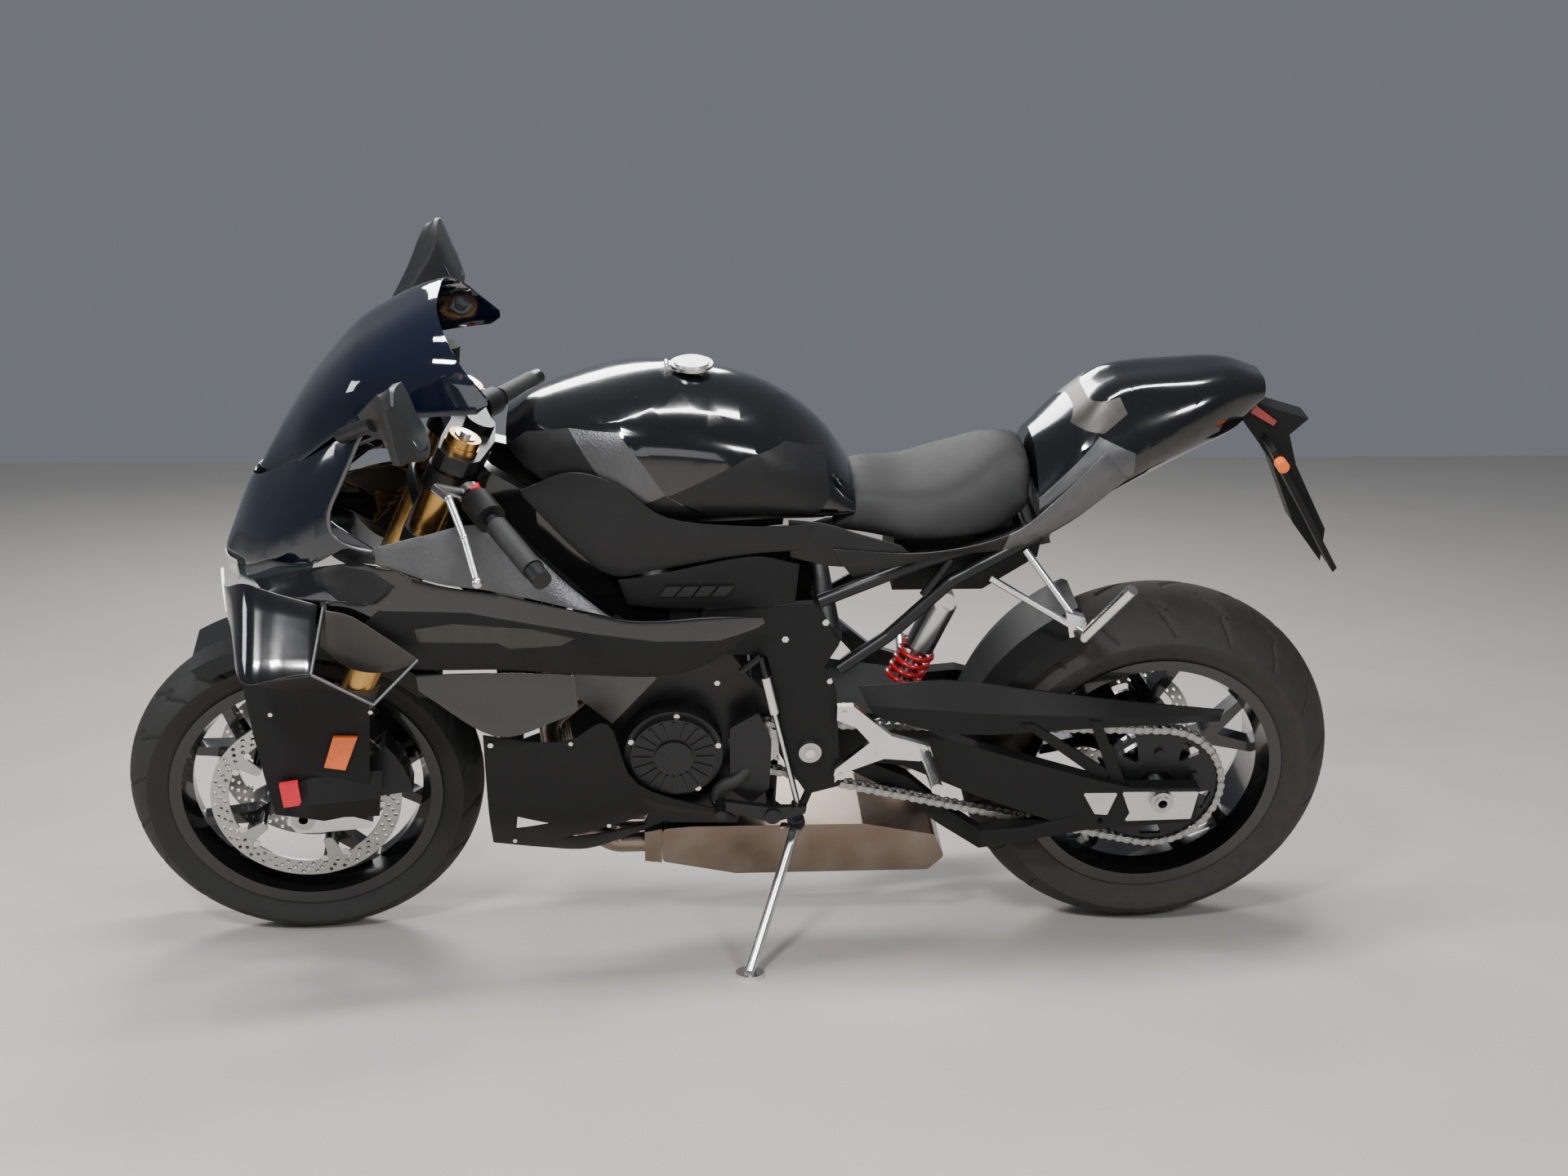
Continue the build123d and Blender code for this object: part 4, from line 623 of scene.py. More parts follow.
def drilled(x, z, radius, inner, rows, count, y_low, y_high):
    """A brake ring with rows of drilled holes."""
    line = bpy.data.curves.new("ring", "CURVE")
    line.dimensions = "2D"
    line.fill_mode = "BOTH"
    line.extrude = (y_high - y_low) / 2000
    circles = [(0, 0, radius, 96), (0, 0, inner, 80)]
    for k, row in enumerate(rows):
        for i in range(count):
            a = 2 * math.pi * (i + k * HOLE_STAGGER) / count
            circles.append((row * math.cos(a), row * math.sin(a), HOLE_RADIUS, 10))
    for cx, cz, r, sides in circles:
        spline = line.splines.new("POLY")
        spline.points.add(sides - 1)
        for i, point in enumerate(spline.points):
            a = 2 * math.pi * i / sides
            point.co = ((cx + r * math.cos(a)) / 1000, (cz + r * math.sin(a)) / 1000, 0, 1)
        spline.use_cyclic_u = True
    holder = bpy.data.objects.new("ring", line)
    bpy.context.scene.collection.objects.link(holder)
    mesh = bpy.data.meshes.new_from_object(holder)
    bpy.data.objects.remove(holder)
    middle = Matrix.Translation((x / 1000, (y_low + y_high) / 2000, z / 1000))
    mesh.transform(middle @ Matrix.Rotation(math.radians(90), 4, "X"))
    return mesh


front_rings = []
front_lugs = []
front_buttons = []
for side in (-1, 1):
    low, high = sorted(side * face for face in FRONT_DISC_FACES)
    front_rings.append(drilled(FRONT_X, FRONT_Z, 159.8, 130, (137, 145, 153), 40, low, high))
    for i in range(5):
        a = math.pi + 2 * math.pi * i / 5
        c, s = math.cos(a), math.sin(a)
        outline = [(92, 8), (122, 12), (131, 26), (131, -26), (122, -12), (92, -8)]
        outline = around(FRONT_X, FRONT_Z, a, outline)
        front_lugs.append(prism(outline, low + 0.4, high - 0.4))
        front_lugs.append(drum(FRONT_X + 98 * c, FRONT_Z + 98 * s, 9, low, high, 16))
        for k in (-1, 1):
            b = a + k * 0.15
            outer = sorted((side * FRONT_DISC_FACES[1], side * BUTTON_FACE))
            front_buttons.append(
                drum(FRONT_X + 127 * math.cos(b), FRONT_Z + 127 * math.sin(b), 6, *outer, 16)
            )
for name, pieces, made, nodes in (
    ("front_disc_rings", front_rings, DISC_STEEL, ("front_brake_discs",)),
    ("front_disc_lugs", front_lugs, STEEL, ("front_brake_discs",)),
    ("front_disc_buttons", front_buttons, POLISHED, ()),
):
    place(name, joined(pieces), made, "front_wheel", nodes, turned=True, smooth=False)
rear_ring = joined([drilled(REAR_X, REAR_Z, 109.8, 86, (92, 102), 30, *REAR_DISC_FACES)])
rear_lugs = []
for i in range(5):
    a = math.pi / 2 + 2 * math.pi * i / 5
    c, s = math.cos(a), math.sin(a)
    outline = [(60, 8), (82, 10), (87, 20), (87, -20), (82, -10), (60, -8)]
    outline = around(REAR_X, REAR_Z, a, outline)
    rear_lugs.append(prism(outline, -98, -94))
    rear_lugs.append(drum(REAR_X + 66 * c, REAR_Z + 66 * s, 9, *REAR_DISC_FACES, 16))
place("rear_disc_ring", rear_ring, DISC_STEEL, "rear_wheel", ("rear_brake_disc",), smooth=False)
place("rear_disc_lugs", joined(rear_lugs), STEEL, "rear_wheel", ("rear_brake_disc",), smooth=False)

# Drive chain: every link with its plates and roller
CHAIN_PITCH = 15.875
CHAIN_Y = 112
FRONT_TEETH = 17
REAR_TEETH = 45
ROLLER_FACES = (106.6, 117.4)
PIN_FACES = (102.6, 121.6)
SPROCKET = (688, 422)


def pitch_radius(teeth):
    """How far the chain's pins lie from the middle of a sprocket."""
    return CHAIN_PITCH / 2 / math.sin(math.pi / teeth)


small, large = pitch_radius(FRONT_TEETH), pitch_radius(REAR_TEETH)
span_x, span_z = SPROCKET[0] - REAR_X, SPROCKET[1] - REAR_Z
span = math.hypot(span_x, span_z)
tilt = math.atan2(span_z, span_x)
wrap = math.asin((large - small) / span)
run = span * math.cos(wrap)
front_wrap = small * (math.pi - 2 * wrap)
chain_length = 2 * run + front_wrap + large * (math.pi + 2 * wrap)
link_count = 2 * round(chain_length / CHAIN_PITCH / 2)


def chain_point(share):
    """The point that lies a share of the way round the chain, from the top of the rear sprocket."""
    s = (share % 1) * chain_length
    upper = math.pi / 2 + tilt - wrap
    lower = tilt - math.pi / 2 + wrap
    if s < run:
        nx, nz = math.cos(upper), math.sin(upper)
        return REAR_X + large * nx + s * math.sin(upper), REAR_Z + large * nz - s * math.cos(upper)
    s -= run
    if s < front_wrap:
        a = upper - s / small
        return SPROCKET[0] + small * math.cos(a), SPROCKET[1] + small * math.sin(a)
    s -= front_wrap
    if s < run:
        nx, nz = math.cos(lower), math.sin(lower)
        return (
            SPROCKET[0] + small * nx + s * math.sin(lower),
            SPROCKET[1] + small * nz - s * math.cos(lower),
        )
    a = lower - (s - run) / large
    return REAR_X + large * math.cos(a), REAR_Z + large * math.sin(a)


links = []
rollers = []
for i in range(link_count):
    ax, az = chain_point(i / link_count)
    bx, bz = chain_point((i + 1) / link_count)
    length = math.hypot(bx - ax, bz - az)
    dx, dz = (bx - ax) / length, (bz - az) / length
    outline = []
    for along_mm, across_mm in (
        (-6.6, 0), (-4.8, 4.9), (0, 6.8), (length / 2, 4.6), (length, 6.8), (length + 4.8, 4.9),
        (length + 6.6, 0), (length + 4.8, -4.9), (length, -6.8), (length / 2, -4.6), (0, -6.8),
        (-4.8, -4.9),
    ):
        outline.append((ax + dx * along_mm - dz * across_mm, az + dz * along_mm + dx * across_mm))
    near, far = ((7.7, 9.4), (5.7, 7.4))[i % 2]
    for side in (-1, 1):
        plate = sorted((CHAIN_Y + side * near, CHAIN_Y + side * far))
        links.append(prism(outline, *plate))
    rollers.append(drum(ax, az, 4.6, *ROLLER_FACES, 10))
    rollers.append(drum(ax, az, 2.4, *PIN_FACES, 8))
place("chain_links", joined(links), CHAIN_STEEL, "chassis", ("drive_chain",), smooth=False)
place("chain_rollers", joined(rollers), STEEL, "chassis", ("drive_chain",), smooth=False)

# Body panels
FAIRING = [
    ((1482, 776), (1440, 742), [176, 196, 200]),
    ((1372, 800), (1362, 700), [180, 204, 210]),
    ((1290, 809), (1285, 640), [198, 214, 206]),
    ((1199, 776), (1210, 626), [204, 212, 204]),
    ((1093, 756), (1093, 622), [204, 210, 200]),
    ((967, 720), (967, 607), [198, 204, 194]),
    ((880, 702), (850, 600), [192, 198, 188]),
    ((774, 704), (770, 622), [184, 190, 182]),
    ((690, 699), (686, 688), [178, 178, 176]),
]
COCKPIT = [
    ((1293, 836), (1290, 811), [192, 197]),
    ((1215, 850), (1200, 778), [178, 200]),
    ((1133, 863), (1120, 764), [170, 200]),
    ((1060, 822), (1050, 746), [170, 198]),
    ((1000, 764), (985, 727), [176, 196]),
    ((936, 712), (930, 710), [188, 190]),
]
FIN = [
    ((1240, 618), (1236, 592), [206, 212]),
    ((1130, 616), (1120, 498), [200, 200]),
    ((1030, 612), (1024, 520), [196, 192]),
    ((990, 606), (985, 540), [192, 190]),
]
GLOSS_ZONE = [
    (1570, 690), (1570, 860), (1290, 860), (1199, 810), (967, 760), (700, 730), (680, 684),
    (760, 664), (860, 668), (968, 688), (1150, 730), (1290, 738), (1340, 690),
]
TOP_INSET = [(1392, 790), (1356, 804), (1296, 800), (1262, 776), (1300, 748), (1352, 752)]
STRIPE_ZONE = [
    (1236, 704), (1176, 712), (1060, 700), (988, 680), (1010, 668), (1090, 664), (1110, 676),
    (1232, 680),
]
side_rest, side_gloss = parted(panel_mesh(FAIRING), GLOSS_ZONE)
side_rest, stripe = parted(side_rest, STRIPE_ZONE)
side_gloss, inset = parted(side_gloss, TOP_INSET)
shell(place("side_fairing", side_rest, MATTE, "chassis", ("side_fairings",)))
shell(place("fairing_gloss", side_gloss, GLOSS, "chassis", ("side_fairings",)))
shell(place("fairing_stripe", stripe, BRONZE, "chassis", ("side_fairings",)))
shell(place("fairing_inset", inset, SATIN, "chassis", ("side_fairings",)))
panel("fairing_fin", FIN, GLOSS, nodes=("side_fairings",))
panel("cockpit_panel", COCKPIT, SCALE, nodes=("side_fairings",))
BELLY = [
    ((1142, 486), (1138, 236), [176, 172, 160, 116]),
    ((1060, 472), (1056, 222), [178, 173, 160, 112]),
    ((1000, 474), (977, 216), [176, 172, 158, 110]),
    ((938, 500), (900, 240), [172, 170, 156, 104]),
    ((890, 378), (830, 268), [164, 158, 130, 104]),
    ((740, 312), (727, 296), [152, 150, 148, 146]),
]
FRONT_VENT = [(1092, 318), (1034, 300), (1096, 282)]
REAR_VENT = [(1022, 256), (940, 282), (872, 296), (880, 262)]
belly = parted(panel_mesh(BELLY), FRONT_VENT)[0]
belly = parted(belly, REAR_VENT)[0]
shell(place("belly_shell", belly, MATTE, "chassis", ("belly_pan",)))
WING_TOP = [
    ((1556, 712), (1556, 702), [56, 62]),
    ((1530, 750), (1528, 688), [148, 172]),
    ((1494, 776), (1494, 664), [190, 298]),
    ((1440, 764), (1440, 668), [204, 302]),
    ((1382, 752), (1386, 674), [216, 302]),
]
WING_LOW = [
    ((1494, 664), (1490, 656), [298, 292]),
    ((1440, 668), (1430, 612), [302, 240]),
    ((1386, 674), (1380, 596), [302, 216]),
    ((1330, 640), (1325, 590), [302, 210]),
    ((1296, 618), (1292, 606), [300, 216]),
]
WING_INNER = [
    ((1372, 745), (1380, 690), [222, 240]),
    ((1330, 735), (1340, 650), [226, 236]),
    ((1280, 700), (1290, 640), [230, 236]),
    ((1232, 664), (1236, 656), [234, 238]),
]
panel("wing_top", WING_TOP, GLOSS, nodes=("winglets",))
panel("wing_low", WING_LOW, SATIN, nodes=("winglets",))
panel("wing_inner", WING_INNER, BRONZE, nodes=("winglets",))
for side in (-1, 1):
    name = "wing_rim_left" if side > 0 else "wing_rim_right"
    rim = [(1372, 222, 750), (1386, 302, 676), (1296, 300, 620), (1232, 236, 662)]
    rim = [(x, y * side, z) for x, y, z in rim]
    for k, (start, end) in enumerate(zip(rim, rim[1:])):
        tube(f"{name}_{k}", [start, end], 2.6, GREY)

# Nose, screen and headlamps
NOSE = [
    [(1552, 22, 734), (1552, 18, 748), (1552, 10, 756), (1552, 0, 760)],
    [(1500, 94, 730), (1500, 92, 780), (1500, 60, 846), (1500, 0, 880)],
    [(1440, 148, 746), (1440, 146, 830), (1440, 96, 912), (1440, 0, 962)],
    [(1370, 180, 780), (1370, 178, 880), (1370, 120, 990), (1370, 0, 1050)],
    [(1290, 200, 812), (1290, 196, 940), (1290, 130, 1076), (1290, 0, 1120)],
]
SCREEN_ROWS = [
    [(1488, 10, 888), (1488, 7, 890), (1488, 4, 891), (1488, 0, 892)],
    [(1440, 74, 908), (1440, 62, 946), (1440, 34, 970), (1440, 0, 976)],
    [(1395, 122, 958), (1395, 104, 1006), (1395, 60, 1034), (1395, 0, 1042)],
    [(1340, 152, 1008), (1340, 130, 1066), (1340, 76, 1096), (1340, 0, 1100)],
    [(1297, 168, 1030), (1297, 146, 1098), (1297, 84, 1128), (1297, 0, 1132)],
    [(1205, 188, 1050), (1205, 158, 1130), (1205, 90, 1172), (1205, 0, 1180)],
    [(1110, 198, 1060), (1110, 166, 1132), (1110, 100, 1174), (1110, 0, 1190)],
]


def arch(rows):
    """Rows from a lower left edge up to the middle, continued down the right side."""
    full = [row + [(x, -y, z) for x, y, z in reversed(row[:-1])] for row in rows]
    return surface(full, (1, 0, 1.5), 4, 6)


NOSE_SIDE = [
    (1570, 728), (1520, 748), (1464, 788), (1384, 803), (1340, 834), (1293, 838), (1362, 882),
    (1302, 1025), (1340, 1015), (1395, 964), (1445, 920), (1494, 886), (1570, 800),
]
SCREEN_SIDE = [
    (1600, 860), (1600, 1300), (1197, 1300), (1190, 1182), (1144, 1120), (1103, 1076),
    (1150, 1040), (1297, 1022), (1395, 950), (1445, 905),
]
nose = parted(arch(NOSE), NOSE_SIDE)[1]
shell(place("nose_shell", nose, NAVY, "chassis", ("nose_cowl",)))
screen = parted(arch(SCREEN_ROWS), SCREEN_SIDE)[1]
shell(place("screen_shell", screen, SCREEN, "chassis", ("windscreen",)), SCREEN_WALL)
for side, name in ((1, "trim_left"), (-1, "trim_right")):
    strip = [(1300, 193, 1022), (1332, 190, 950), (1364, 184, 884), (1346, 190, 838), (1294, 200, 834)]
    tube(name, [(x, y * side, z) for x, y, z in strip], 3.5, GREY)
HEADLAMP = [
    ((1530, 742), (1527, 722), [60, 62]),
    ((1499, 761), (1497, 728), [90, 96]),
    ((1464, 786), (1462, 738), [122, 128]),
    ((1424, 794), (1426, 752), [148, 154]),
    ((1390, 800), (1394, 790), [168, 170]),
]
panel("headlamp_lens", HEADLAMP, LENS)
panel("headlamp_bowl", HEADLAMP, BLACK_METAL, nodes=("lamps",), push=-8)

# Tank, covers and tail
TANK = [
    (1092, [(0, 944), (48, 944), (66, 958), (56, 976), (0, 984)]),
    (1040, [(0, 905), (92, 905), (112, 935), (94, 990), (0, 1012)]),
    (911, [(0, 820), (118, 840), (158, 920), (130, 1016), (0, 1046)]),
    (800, [(0, 820), (118, 840), (160, 920), (132, 1010), (0, 1054)]),
    (680, [(0, 820), (108, 840), (148, 900), (124, 978), (0, 1024)]),
    (592, [(0, 820), (96, 836), (124, 868), (96, 930), (0, 962)]),
    (540, [(0, 830), (84, 836), (98, 850), (70, 878), (0, 890)]),
]
COVER_ZONE = [
    (1120, 930), (1060, 984), (993, 1000), (916, 1003), (877, 957), (841, 902), (786, 863),
    (715, 857), (604, 850), (580, 800), (1120, 800),
]
PATCH_ZONE = [(993, 1001), (916, 1004), (895, 983), (843, 906), (887, 885), (921, 897)]
KNEE_ZONE = [(841, 903), (717, 963), (656, 975), (590, 948), (583, 881), (604, 854), (777, 862)]
tank, cover = parted(hull_mesh(TANK), COVER_ZONE)
cover, patch = parted(cover, PATCH_ZONE)
tank, knee = parted(tank, KNEE_ZONE)
place("tank_shell", tank, GLOSS, "chassis", ("fuel_tank",))
place("tank_cover", cover, SATIN, "chassis", ("fuel_tank",))
place("tank_patch", patch, SCALE, "chassis", ("fuel_tank",))
place("knee_patch", knee, SATIN, "chassis", ("fuel_tank",))
SIDE_COVER = [
    ((1070, 900), (1066, 890), [124, 125, 126]),
    ((990, 940), (985, 806), [146, 150, 146]),
    ((916, 925), (925, 762), [163, 162, 150]),
    ((842, 870), (842, 775), [165, 160, 150]),
    ((715, 850), (720, 796), [156, 156, 148]),
    ((604, 845), (600, 800), [140, 142, 138]),
]
LOWER_COVER = [
    ((920, 752), (905, 708), [143, 146]),
    ((850, 762), (840, 702), [144, 148]),
    ((713, 790), (713, 702), [142, 148]),
    ((630, 774), (636, 708), [140, 146]),
]
panel("side_cover", SIDE_COVER, SATIN, nodes=("side_covers",))
panel("lower_cover", LOWER_COVER, MATTE, nodes=("side_covers",))
# The cover runs on under the back of the tank to the tail's side panel
BRIDGE = [
    ((650, 852), (645, 786), [138, 141, 138]),
    ((590, 846), (580, 770), [142, 146, 140]),
    ((535, 830), (520, 772), [148, 151, 142]),
    ((470, 812), (448, 790), [152, 154, 148]),
]
panel("cover_bridge", BRIDGE, SATIN, nodes=("side_covers",))
slats = []
for i in range(4):
    x = 832 - i * 28
    for side in (-1, 1):
        outline = [(x, 724), (x + 24, 724), (x + 10, 742), (x - 14, 742)]
        slats.append(prism(outline, *sorted((side * 146, side * 151))))
place("cover_slats", joined(slats), BLACK_METAL, "chassis", smooth=False)
TAIL = [
    (248, [(0, 826), (110, 838), (122, 872), (60, 930), (0, 944)]),
    (185, [(0, 826), (116, 850), (122, 940), (70, 990), (0, 999)]),
    (120, [(0, 850), (112, 890), (118, 960), (66, 1034), (0, 1042)]),
    (3, [(0, 930), (88, 944), (96, 1010), (60, 1050), (0, 1056)]),
    (-67, [(0, 960), (58, 966), (70, 1034), (40, 1058), (0, 1062)]),
    (-121, [(0, 1004), (36, 1008), (44, 1030), (30, 1044), (0, 1046)]),
]
BRIGHT_ZONE = [(276, 846), (157, 978), (100, 954), (99, 918), (150, 902), (218, 846)]
HUMP_ZONE = [(196, 984), (176, 1012), (122, 1030), (112, 1010), (150, 982)]
tail, bright = parted(hull_mesh(TAIL), BRIGHT_ZONE)
tail, hump = parted(tail, HUMP_ZONE)
place("tail_shell", tail, GLOSS, "chassis", ("tail_cowl",))
place("tail_bright", bright, GREY, "chassis", ("tail_cowl",))
place("tail_inset", hump, BRONZE, "chassis", ("tail_cowl",))
TAIL_SIDE = [
    ((580, 806), (545, 750), [150, 152, 140]),
    ((430, 800), (400, 790), [158, 154, 150]),
    ((300, 828), (287, 800), [154, 148, 140]),
    ((225, 880), (200, 836), [136, 138, 128]),
    ((150, 960), (110, 910), [126, 130, 122]),
]
TAIL_BRIGHT_ZONE = [(310, 780), (280, 900), (90, 1000), (90, 860)]
side_dark, side_bright = parted(panel_mesh(TAIL_SIDE), TAIL_BRIGHT_ZONE)
shell(place("tail_side", side_dark, SATIN, "chassis", ("tail_side_panels",)))
shell(place("tail_side_bright", side_bright, GREY, "chassis", ("tail_side_panels",)))
BEAM_ZONE = [(1140, 990), (1140, 1010), (1060, 1010), (840, 740), (835, 660), (900, 650), (1140, 880)]
frame_rest, beams = parted(recast("main_frame"), BEAM_ZONE)
soften(place("frame_plates", frame_rest, MATTE, "chassis", ("main_frame",)), 0.001)
soften(place("frame_beams", beams, BEAM_BLACK, "chassis", ("main_frame",)), 0.001)

# Seat: a padded cover, puffed by a short cloth run
SEAT = [
    (584, [(0, 818), (98, 818), (106, 830), (60, 844), (0, 848)]),
    (532, [(0, 814), (108, 814), (114, 834), (80, 862), (0, 870)]),
    (456, [(0, 808), (136, 810), (143, 830), (108, 860), (0, 868)]),
    (386, [(0, 808), (144, 816), (151, 836), (116, 874), (0, 886)]),
    (319, [(0, 814), (138, 828), (143, 850), (98, 902), (0, 916)]),
    (256, [(0, 842), (114, 864), (110, 888), (68, 924), (0, 934)]),
]


VOXEL = 0.006
SWELL_CAP = 0.006
CLOTH_PRESSURE = 4
CLOTH_FRAMES = 20


def puff(piece):
    """Remeshes a pad, swells it with a cloth run, keeps every point near its start and smooths it."""
    remesh = piece.modifiers.new("voxels", "REMESH")
    remesh.mode = "VOXEL"
    remesh.voxel_size = VOXEL
    graph = bpy.context.evaluated_depsgraph_get()
    dense = bpy.data.meshes.new_from_object(piece.evaluated_get(graph))
    piece.modifiers.clear()
    made = piece.data.materials[0]
    piece.data = dense
    dense.materials.clear()
    dense.materials.append(made)
    start = np.zeros(len(dense.vertices) * 3)
    dense.vertices.foreach_get("co", start)
    cloth = piece.modifiers.new("cloth", "CLOTH")
    cloth.settings.use_pressure = True
    cloth.settings.uniform_pressure_force = CLOTH_PRESSURE
    cloth.settings.effector_weights.gravity = 0
    scene = bpy.context.scene
    for frame_number in range(1, CLOTH_FRAMES + 1):
        scene.frame_set(frame_number)
    graph = bpy.context.evaluated_depsgraph_get()
    blown = piece.evaluated_get(graph).data
    end = np.zeros(len(start))
    blown.vertices.foreach_get("co", end)
    move = (end - start).reshape(-1, 3)
    size = np.linalg.norm(move, axis=1, keepdims=True)
    move *= np.minimum(1, SWELL_CAP / np.maximum(size, 1e-9))
    end = start.reshape(-1, 3) + move
    piece.modifiers.clear()
    scene.frame_set(1)
    dense.vertices.foreach_set("co", end.reshape(-1))
    dense.shade_smooth()
    smooth = piece.modifiers.new("smooth", "SMOOTH")
    smooth.factor = 0.5
    smooth.iterations = 45
    finer = piece.modifiers.new("finer", "SUBSURF")
    finer.levels = 1
    finer.render_levels = 1


seat = place("seat_pad", hull_mesh(SEAT), VINYL, "chassis", ("seat",))
puff(seat)

# Mirrors, lamps and small parts
MIRROR_SECTIONS = (
    (248, [(1294, 1080), (1262, 1096), (1248, 1062), (1280, 1048)]),
    (300, [(1268, 1122), (1222, 1152), (1190, 1070), (1236, 1052)]),
    (380, [(1246, 1164), (1222, 1174), (1180, 1072), (1232, 1060)]),
    (424, [(1230, 1160), (1220, 1166), (1190, 1088), (1216, 1078)]),
)
mirror_meshes = []
glass_meshes = []
for side in (-1, 1):
    rows = []
    for y, outline in MIRROR_SECTIONS:
        loop = outline + outline[:1]
        points = []
        for start, end in zip(loop, loop[1:]):
            for t in (0, 0.5):
                x = start[0] + (end[0] - start[0]) * t
                z = start[1] + (end[1] - start[1]) * t
                points.append((x, y * side, z))
        rows.append(points + points[:1])
    mirror_meshes.append(surface(rows, None, 2, 4, closed=True, caps=True))
    corners = [
        (1218, 304 * side, 1142), (1222, 380 * side, 1162), (1219, 414 * side, 1158),
        (1191, 414 * side, 1094), (1183, 380 * side, 1082), (1191, 304 * side, 1080),
    ]
    corners = [(x - 1.5, y, z) for x, y, z in corners]
    glass_meshes.append(mesh_of(corners, [tuple(range(6))], (-1, 0, 0)))
    stems = [(1332, 156 * side, 1008), (1300, 215 * side, 1044), (1268, 266 * side, 1074)]
    tube("mirror_stem_left" if side > 0 else "mirror_stem_right", stems, 12, SATIN, nodes=("mirrors",))
place("mirror_heads", joined(mirror_meshes), SATIN, "chassis", ("mirrors",))
place("mirror_glass", joined(glass_meshes), MIRROR, "chassis", smooth=False)
turn_lamps = []
for side in (-1, 1):
    turn_lamps.append(drum(-145, 925, 10, *sorted((side * 91, side * 113)), 16))
place("turn_lamps", joined(turn_lamps), ORANGE, "chassis", ("lamps",))
tail_lamp = prism([(-113, 999), (-106, 986), (-146, 963), (-151, 971)], -32, 32)
place("tail_lamp", tail_lamp, TAIL_LENS, "chassis", ("lamps",), smooth=False)

# Shock spring as a real coil
SPRING_TOP = Vector((408, 0, 545))
SPRING_LOW = Vector((437, 0, 476))
COIL_TURNS = 4.5
COIL_RADIUS = 29
COIL_POINTS = 64
coil = []
axis = (SPRING_LOW - SPRING_TOP).normalized()
side_a = axis.cross(Vector((0, 1, 0))).normalized()
side_b = axis.cross(side_a)
for i in range(COIL_POINTS):
    t = i / (COIL_POINTS - 1)
    a = t * 2 * math.pi * COIL_TURNS
    off_axis = (side_a * math.cos(a) + side_b * math.sin(a)) * COIL_RADIUS
    coil.append(tuple(SPRING_TOP + (SPRING_LOW - SPRING_TOP) * t + off_axis))
tube("spring_coil", coil, 4.6, RED, nodes=("shock_spring",))

# Bolts: hexagon heads at (x, z, y, radius), on the chassis and on the fender's covers
CHASSIS_BOLTS = (
    (604, 428, 153, 9),
    (1130, 470, 178, 5),
    (760, 560, 141, 5),
    (650, 640, 141, 6),
    (585, 670, 141, 6),
    (575, 560, 141, 5),
    (1000, 470, 177, 4),
    (940, 300, 164, 4),
    (1100, 250, 130, 4),
    (550, 507, 159, 6),
    (552, 386, 159, 6),
)
FENDER_BOLTS = ((1490, 520, 142, 4), (1330, 520, 146, 4))
BOLT_HEIGHT = 3.5


def bolt_heads(bolts):
    """The heads of some bolts on the left and on the right, as one mesh."""
    heads = []
    for x, z, y, radius in bolts:
        for side in (-1, 1):
            heads.append(drum(x, z, radius, *sorted((side * y, side * (y + BOLT_HEIGHT))), 6))
    return joined(heads)


place("bolt_heads", bolt_heads(CHASSIS_BOLTS), POLISHED, "chassis", smooth=False)
place("cover_bolts", bolt_heads(FENDER_BOLTS), POLISHED, "steering", turned=True, smooth=False)

# Round engine cover: screws about its edge and ribs on its face
COVER_X, COVER_Z = 831, 422
screws = []
ribs = []
for i in range(5):
    a = 2 * math.pi * (i + 0.3) / 5
    screws.append(drum(COVER_X + 76 * math.cos(a), COVER_Z + 76 * math.sin(a), 5, 140, 146, 12))
for i in range(20):
    a = 2 * math.pi * i / 20
    outline = [(36, 2), (68, 2.6), (68, -2.6), (36, -2)]
    ribs.append(prism(around(COVER_X, COVER_Z, a, outline), 149.5, 152.5))
place("cover_screws", joined(screws), POLISHED, "chassis", smooth=False)
place("cover_ribs", joined(ribs), BLACK_METAL, "chassis", smooth=False)

# Coolant hose with clamps beside the crankcase
hose = [(744, 124, 296), (760, 138, 330), (752, 142, 360), (716, 140, 372), (700, 124, 392)]
tube("coolant_hose", hose, 12, RUBBER)
tube("hose_clamp", [(755, 136, 322), (760, 139, 336)], 13, POLISHED)

# Red switches and caliper block, the nose's lamp strips and its pale front piece
SWITCH = [(1150, 930), (1138, 934), (1134, 924), (1146, 920)]
switches = []
for side in (-1, 1):
    switches.append(prism(SWITCH, *sorted((side * 160, side * 176))))
place("switch_buttons", joined(switches), RED_PART, "steering", turned=True, smooth=False)
red_block = prism([(1486, 392), (1456, 396), (1452, 352), (1482, 348)], 150, 160)
place("caliper_reflector", red_block, RED_PART, "steering", turned=True, smooth=False)
for side, name in ((1, "strip_left"), (-1, "strip_right")):
    strip = [(1556, 46 * side, 730), (1550, 84 * side, 712), (1540, 118 * side, 690)]
    tube(name, strip, 2.4, WHITE_LAMP)
FRONT_PIECE = [
    ((1556, 752), (1554, 728), [14, 16]),
    ((1546, 754), (1543, 724), [44, 46]),
    ((1528, 758), (1525, 726), [72, 76]),
]
panel("front_piece", FRONT_PIECE, PALE, push=1.5)

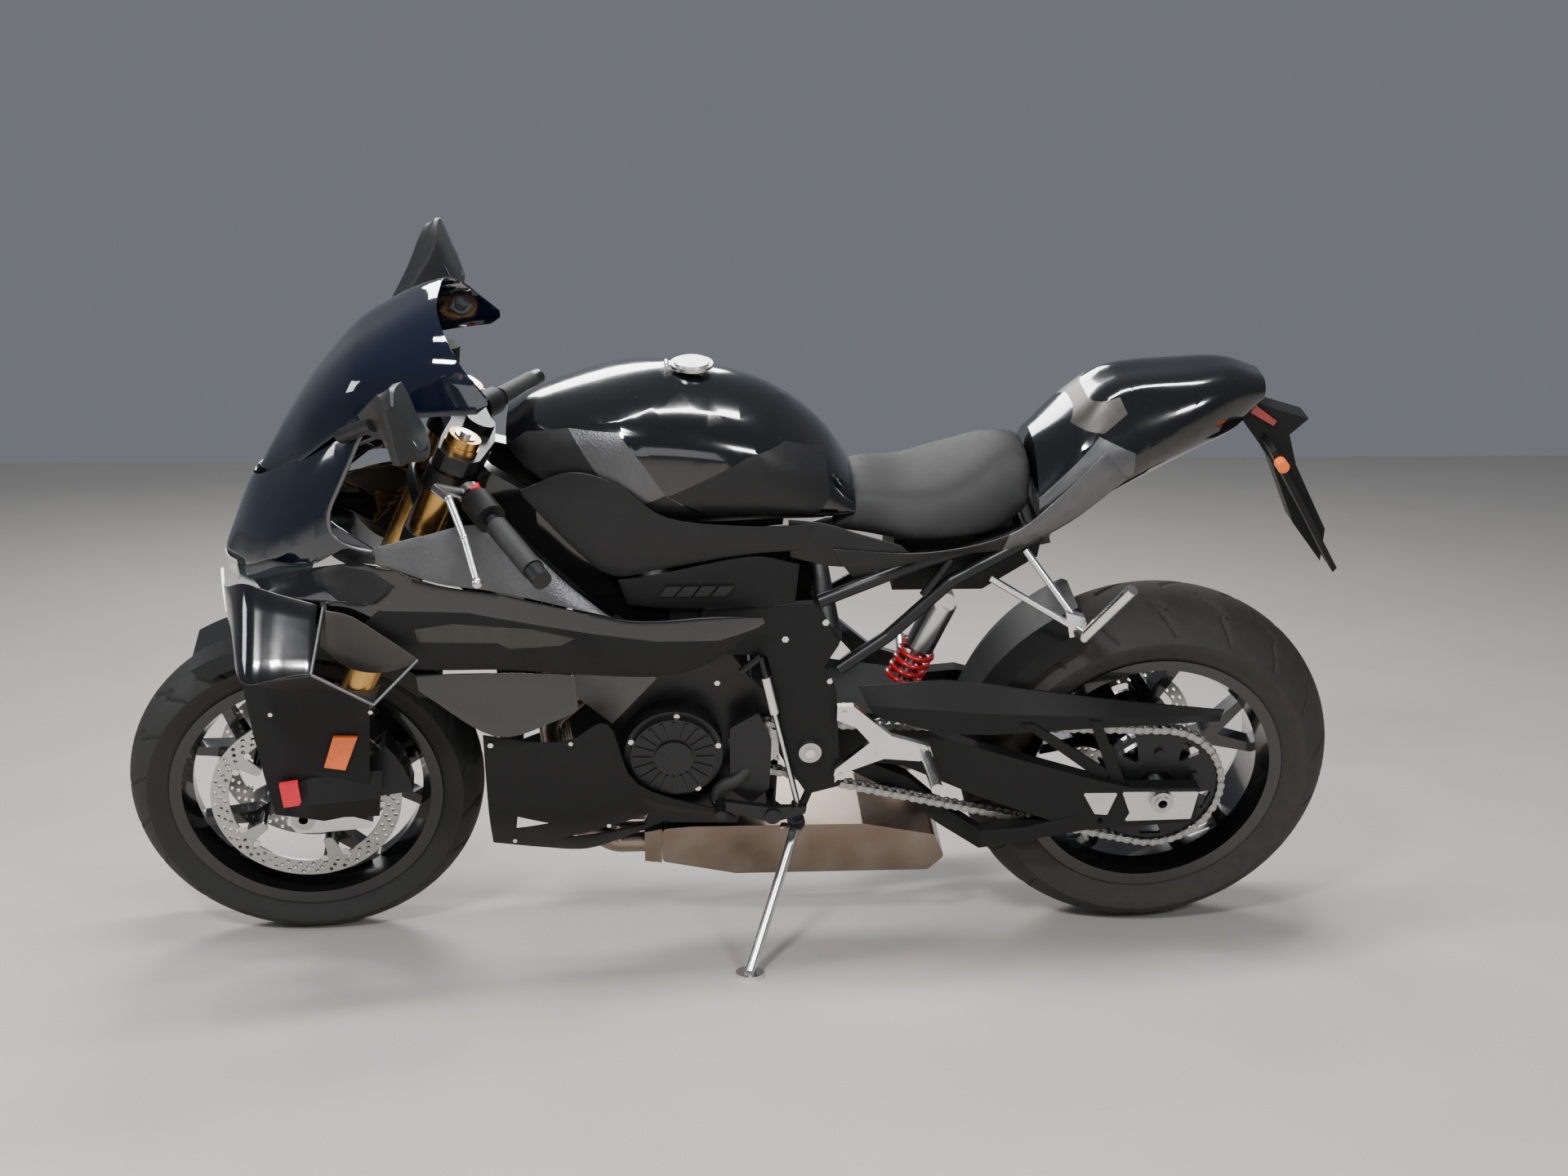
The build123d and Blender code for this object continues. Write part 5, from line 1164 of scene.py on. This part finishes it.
# Gear rod with its sensor, and stepped caps on the fork tubes
FORK_Y = 107.0
CAP_LOW = 742.0
CAP_STEP_HEIGHT = 6
CAP_SIDES = 28
tube("gear_rod", [(622, 158, 326), (644, 157.5, 418), (666, 157, 510)], 3.6, POLISHED)
tube("gear_sensor", [(666, 157, 510), (674, 156.5, 544), (682, 156, 578)], 9, POLISHED)
caps = []
for side in (-1, 1):
    for height, radius in ((CAP_LOW, 23), (CAP_LOW + 6, 17), (CAP_LOW + 11, 9)):
        level = []
        for k in range(CAP_SIDES):
            a = 2 * math.pi * k / CAP_SIDES
            level.append((radius * math.cos(a), FORK_Y * side + radius * math.sin(a)))
        vertices = [(x, y, height) for x, y in level]
        vertices += [(x, y, height + CAP_STEP_HEIGHT) for x, y in level]
        faces = [tuple(range(CAP_SIDES)), tuple(range(CAP_SIDES, 2 * CAP_SIDES))]
        for k in range(CAP_SIDES):
            n = (k + 1) % CAP_SIDES
            faces.append((k, n, CAP_SIDES + n, CAP_SIDES + k))
        cap = mesh_of(vertices, faces)
        cap.transform(FORK)
        caps.append(cap)
place("fork_caps", joined(caps), POLISHED, "steering", turned=True)

# Floor and light
floor_mesh = bpy.data.meshes.new("floor")
floor_mesh.from_pydata([(-6, -5, 0), (6, -5, 0), (6, 5, 0), (-6, 5, 0)], [], [(0, 1, 2, 3)])
floor = bpy.data.objects.new("floor", floor_mesh)
bpy.context.scene.collection.objects.link(floor)
floor_mesh.materials.append(
    material("pale_floor", (0.42, 0.4, 0.37), 0.5, spread=0.1, scale=3, second=(0.47, 0.45, 0.42))
)
world = bpy.data.worlds.new("studio")
bpy.context.scene.world = world
world.use_nodes = True
world.node_tree.nodes["Background"].inputs["Color"].default_value = (0.3, 0.32, 0.36, 1)
world.node_tree.nodes["Background"].inputs["Strength"].default_value = 0.55
LIGHTS = (
    ("key", (1.4, 3.0, 3.2), 120, 0.6, 0.4),
    ("near", (-1.8, 3.2, 2.4), 60, 0.7, 0.4),
    ("top", (0.0, 0.3, 3.6), 170, 2.6, 0.3),
    ("back", (0.4, -3.0, 2.6), 90, 2.0, 0.8),
    ("nose", (3.2, 0.8, 1.8), 30, 1.0, 0.8),
    ("fill", (0.3, 4.2, 0.9), 14, 3.0, 1.0),
)
LIGHT_TARGET = Vector((0.1, 0, 0.55))
for name, spot, power, size_x, size_y in LIGHTS:
    lamp = bpy.data.lights.new(name, "AREA")
    lamp.energy = power
    lamp.shape = "RECTANGLE"
    lamp.size = size_x
    lamp.size_y = size_y
    holder = bpy.data.objects.new(name, lamp)
    bpy.context.scene.collection.objects.link(holder)
    holder.location = spot
    holder.rotation_euler = (LIGHT_TARGET - Vector(spot)).to_track_quat("-Z", "Y").to_euler()
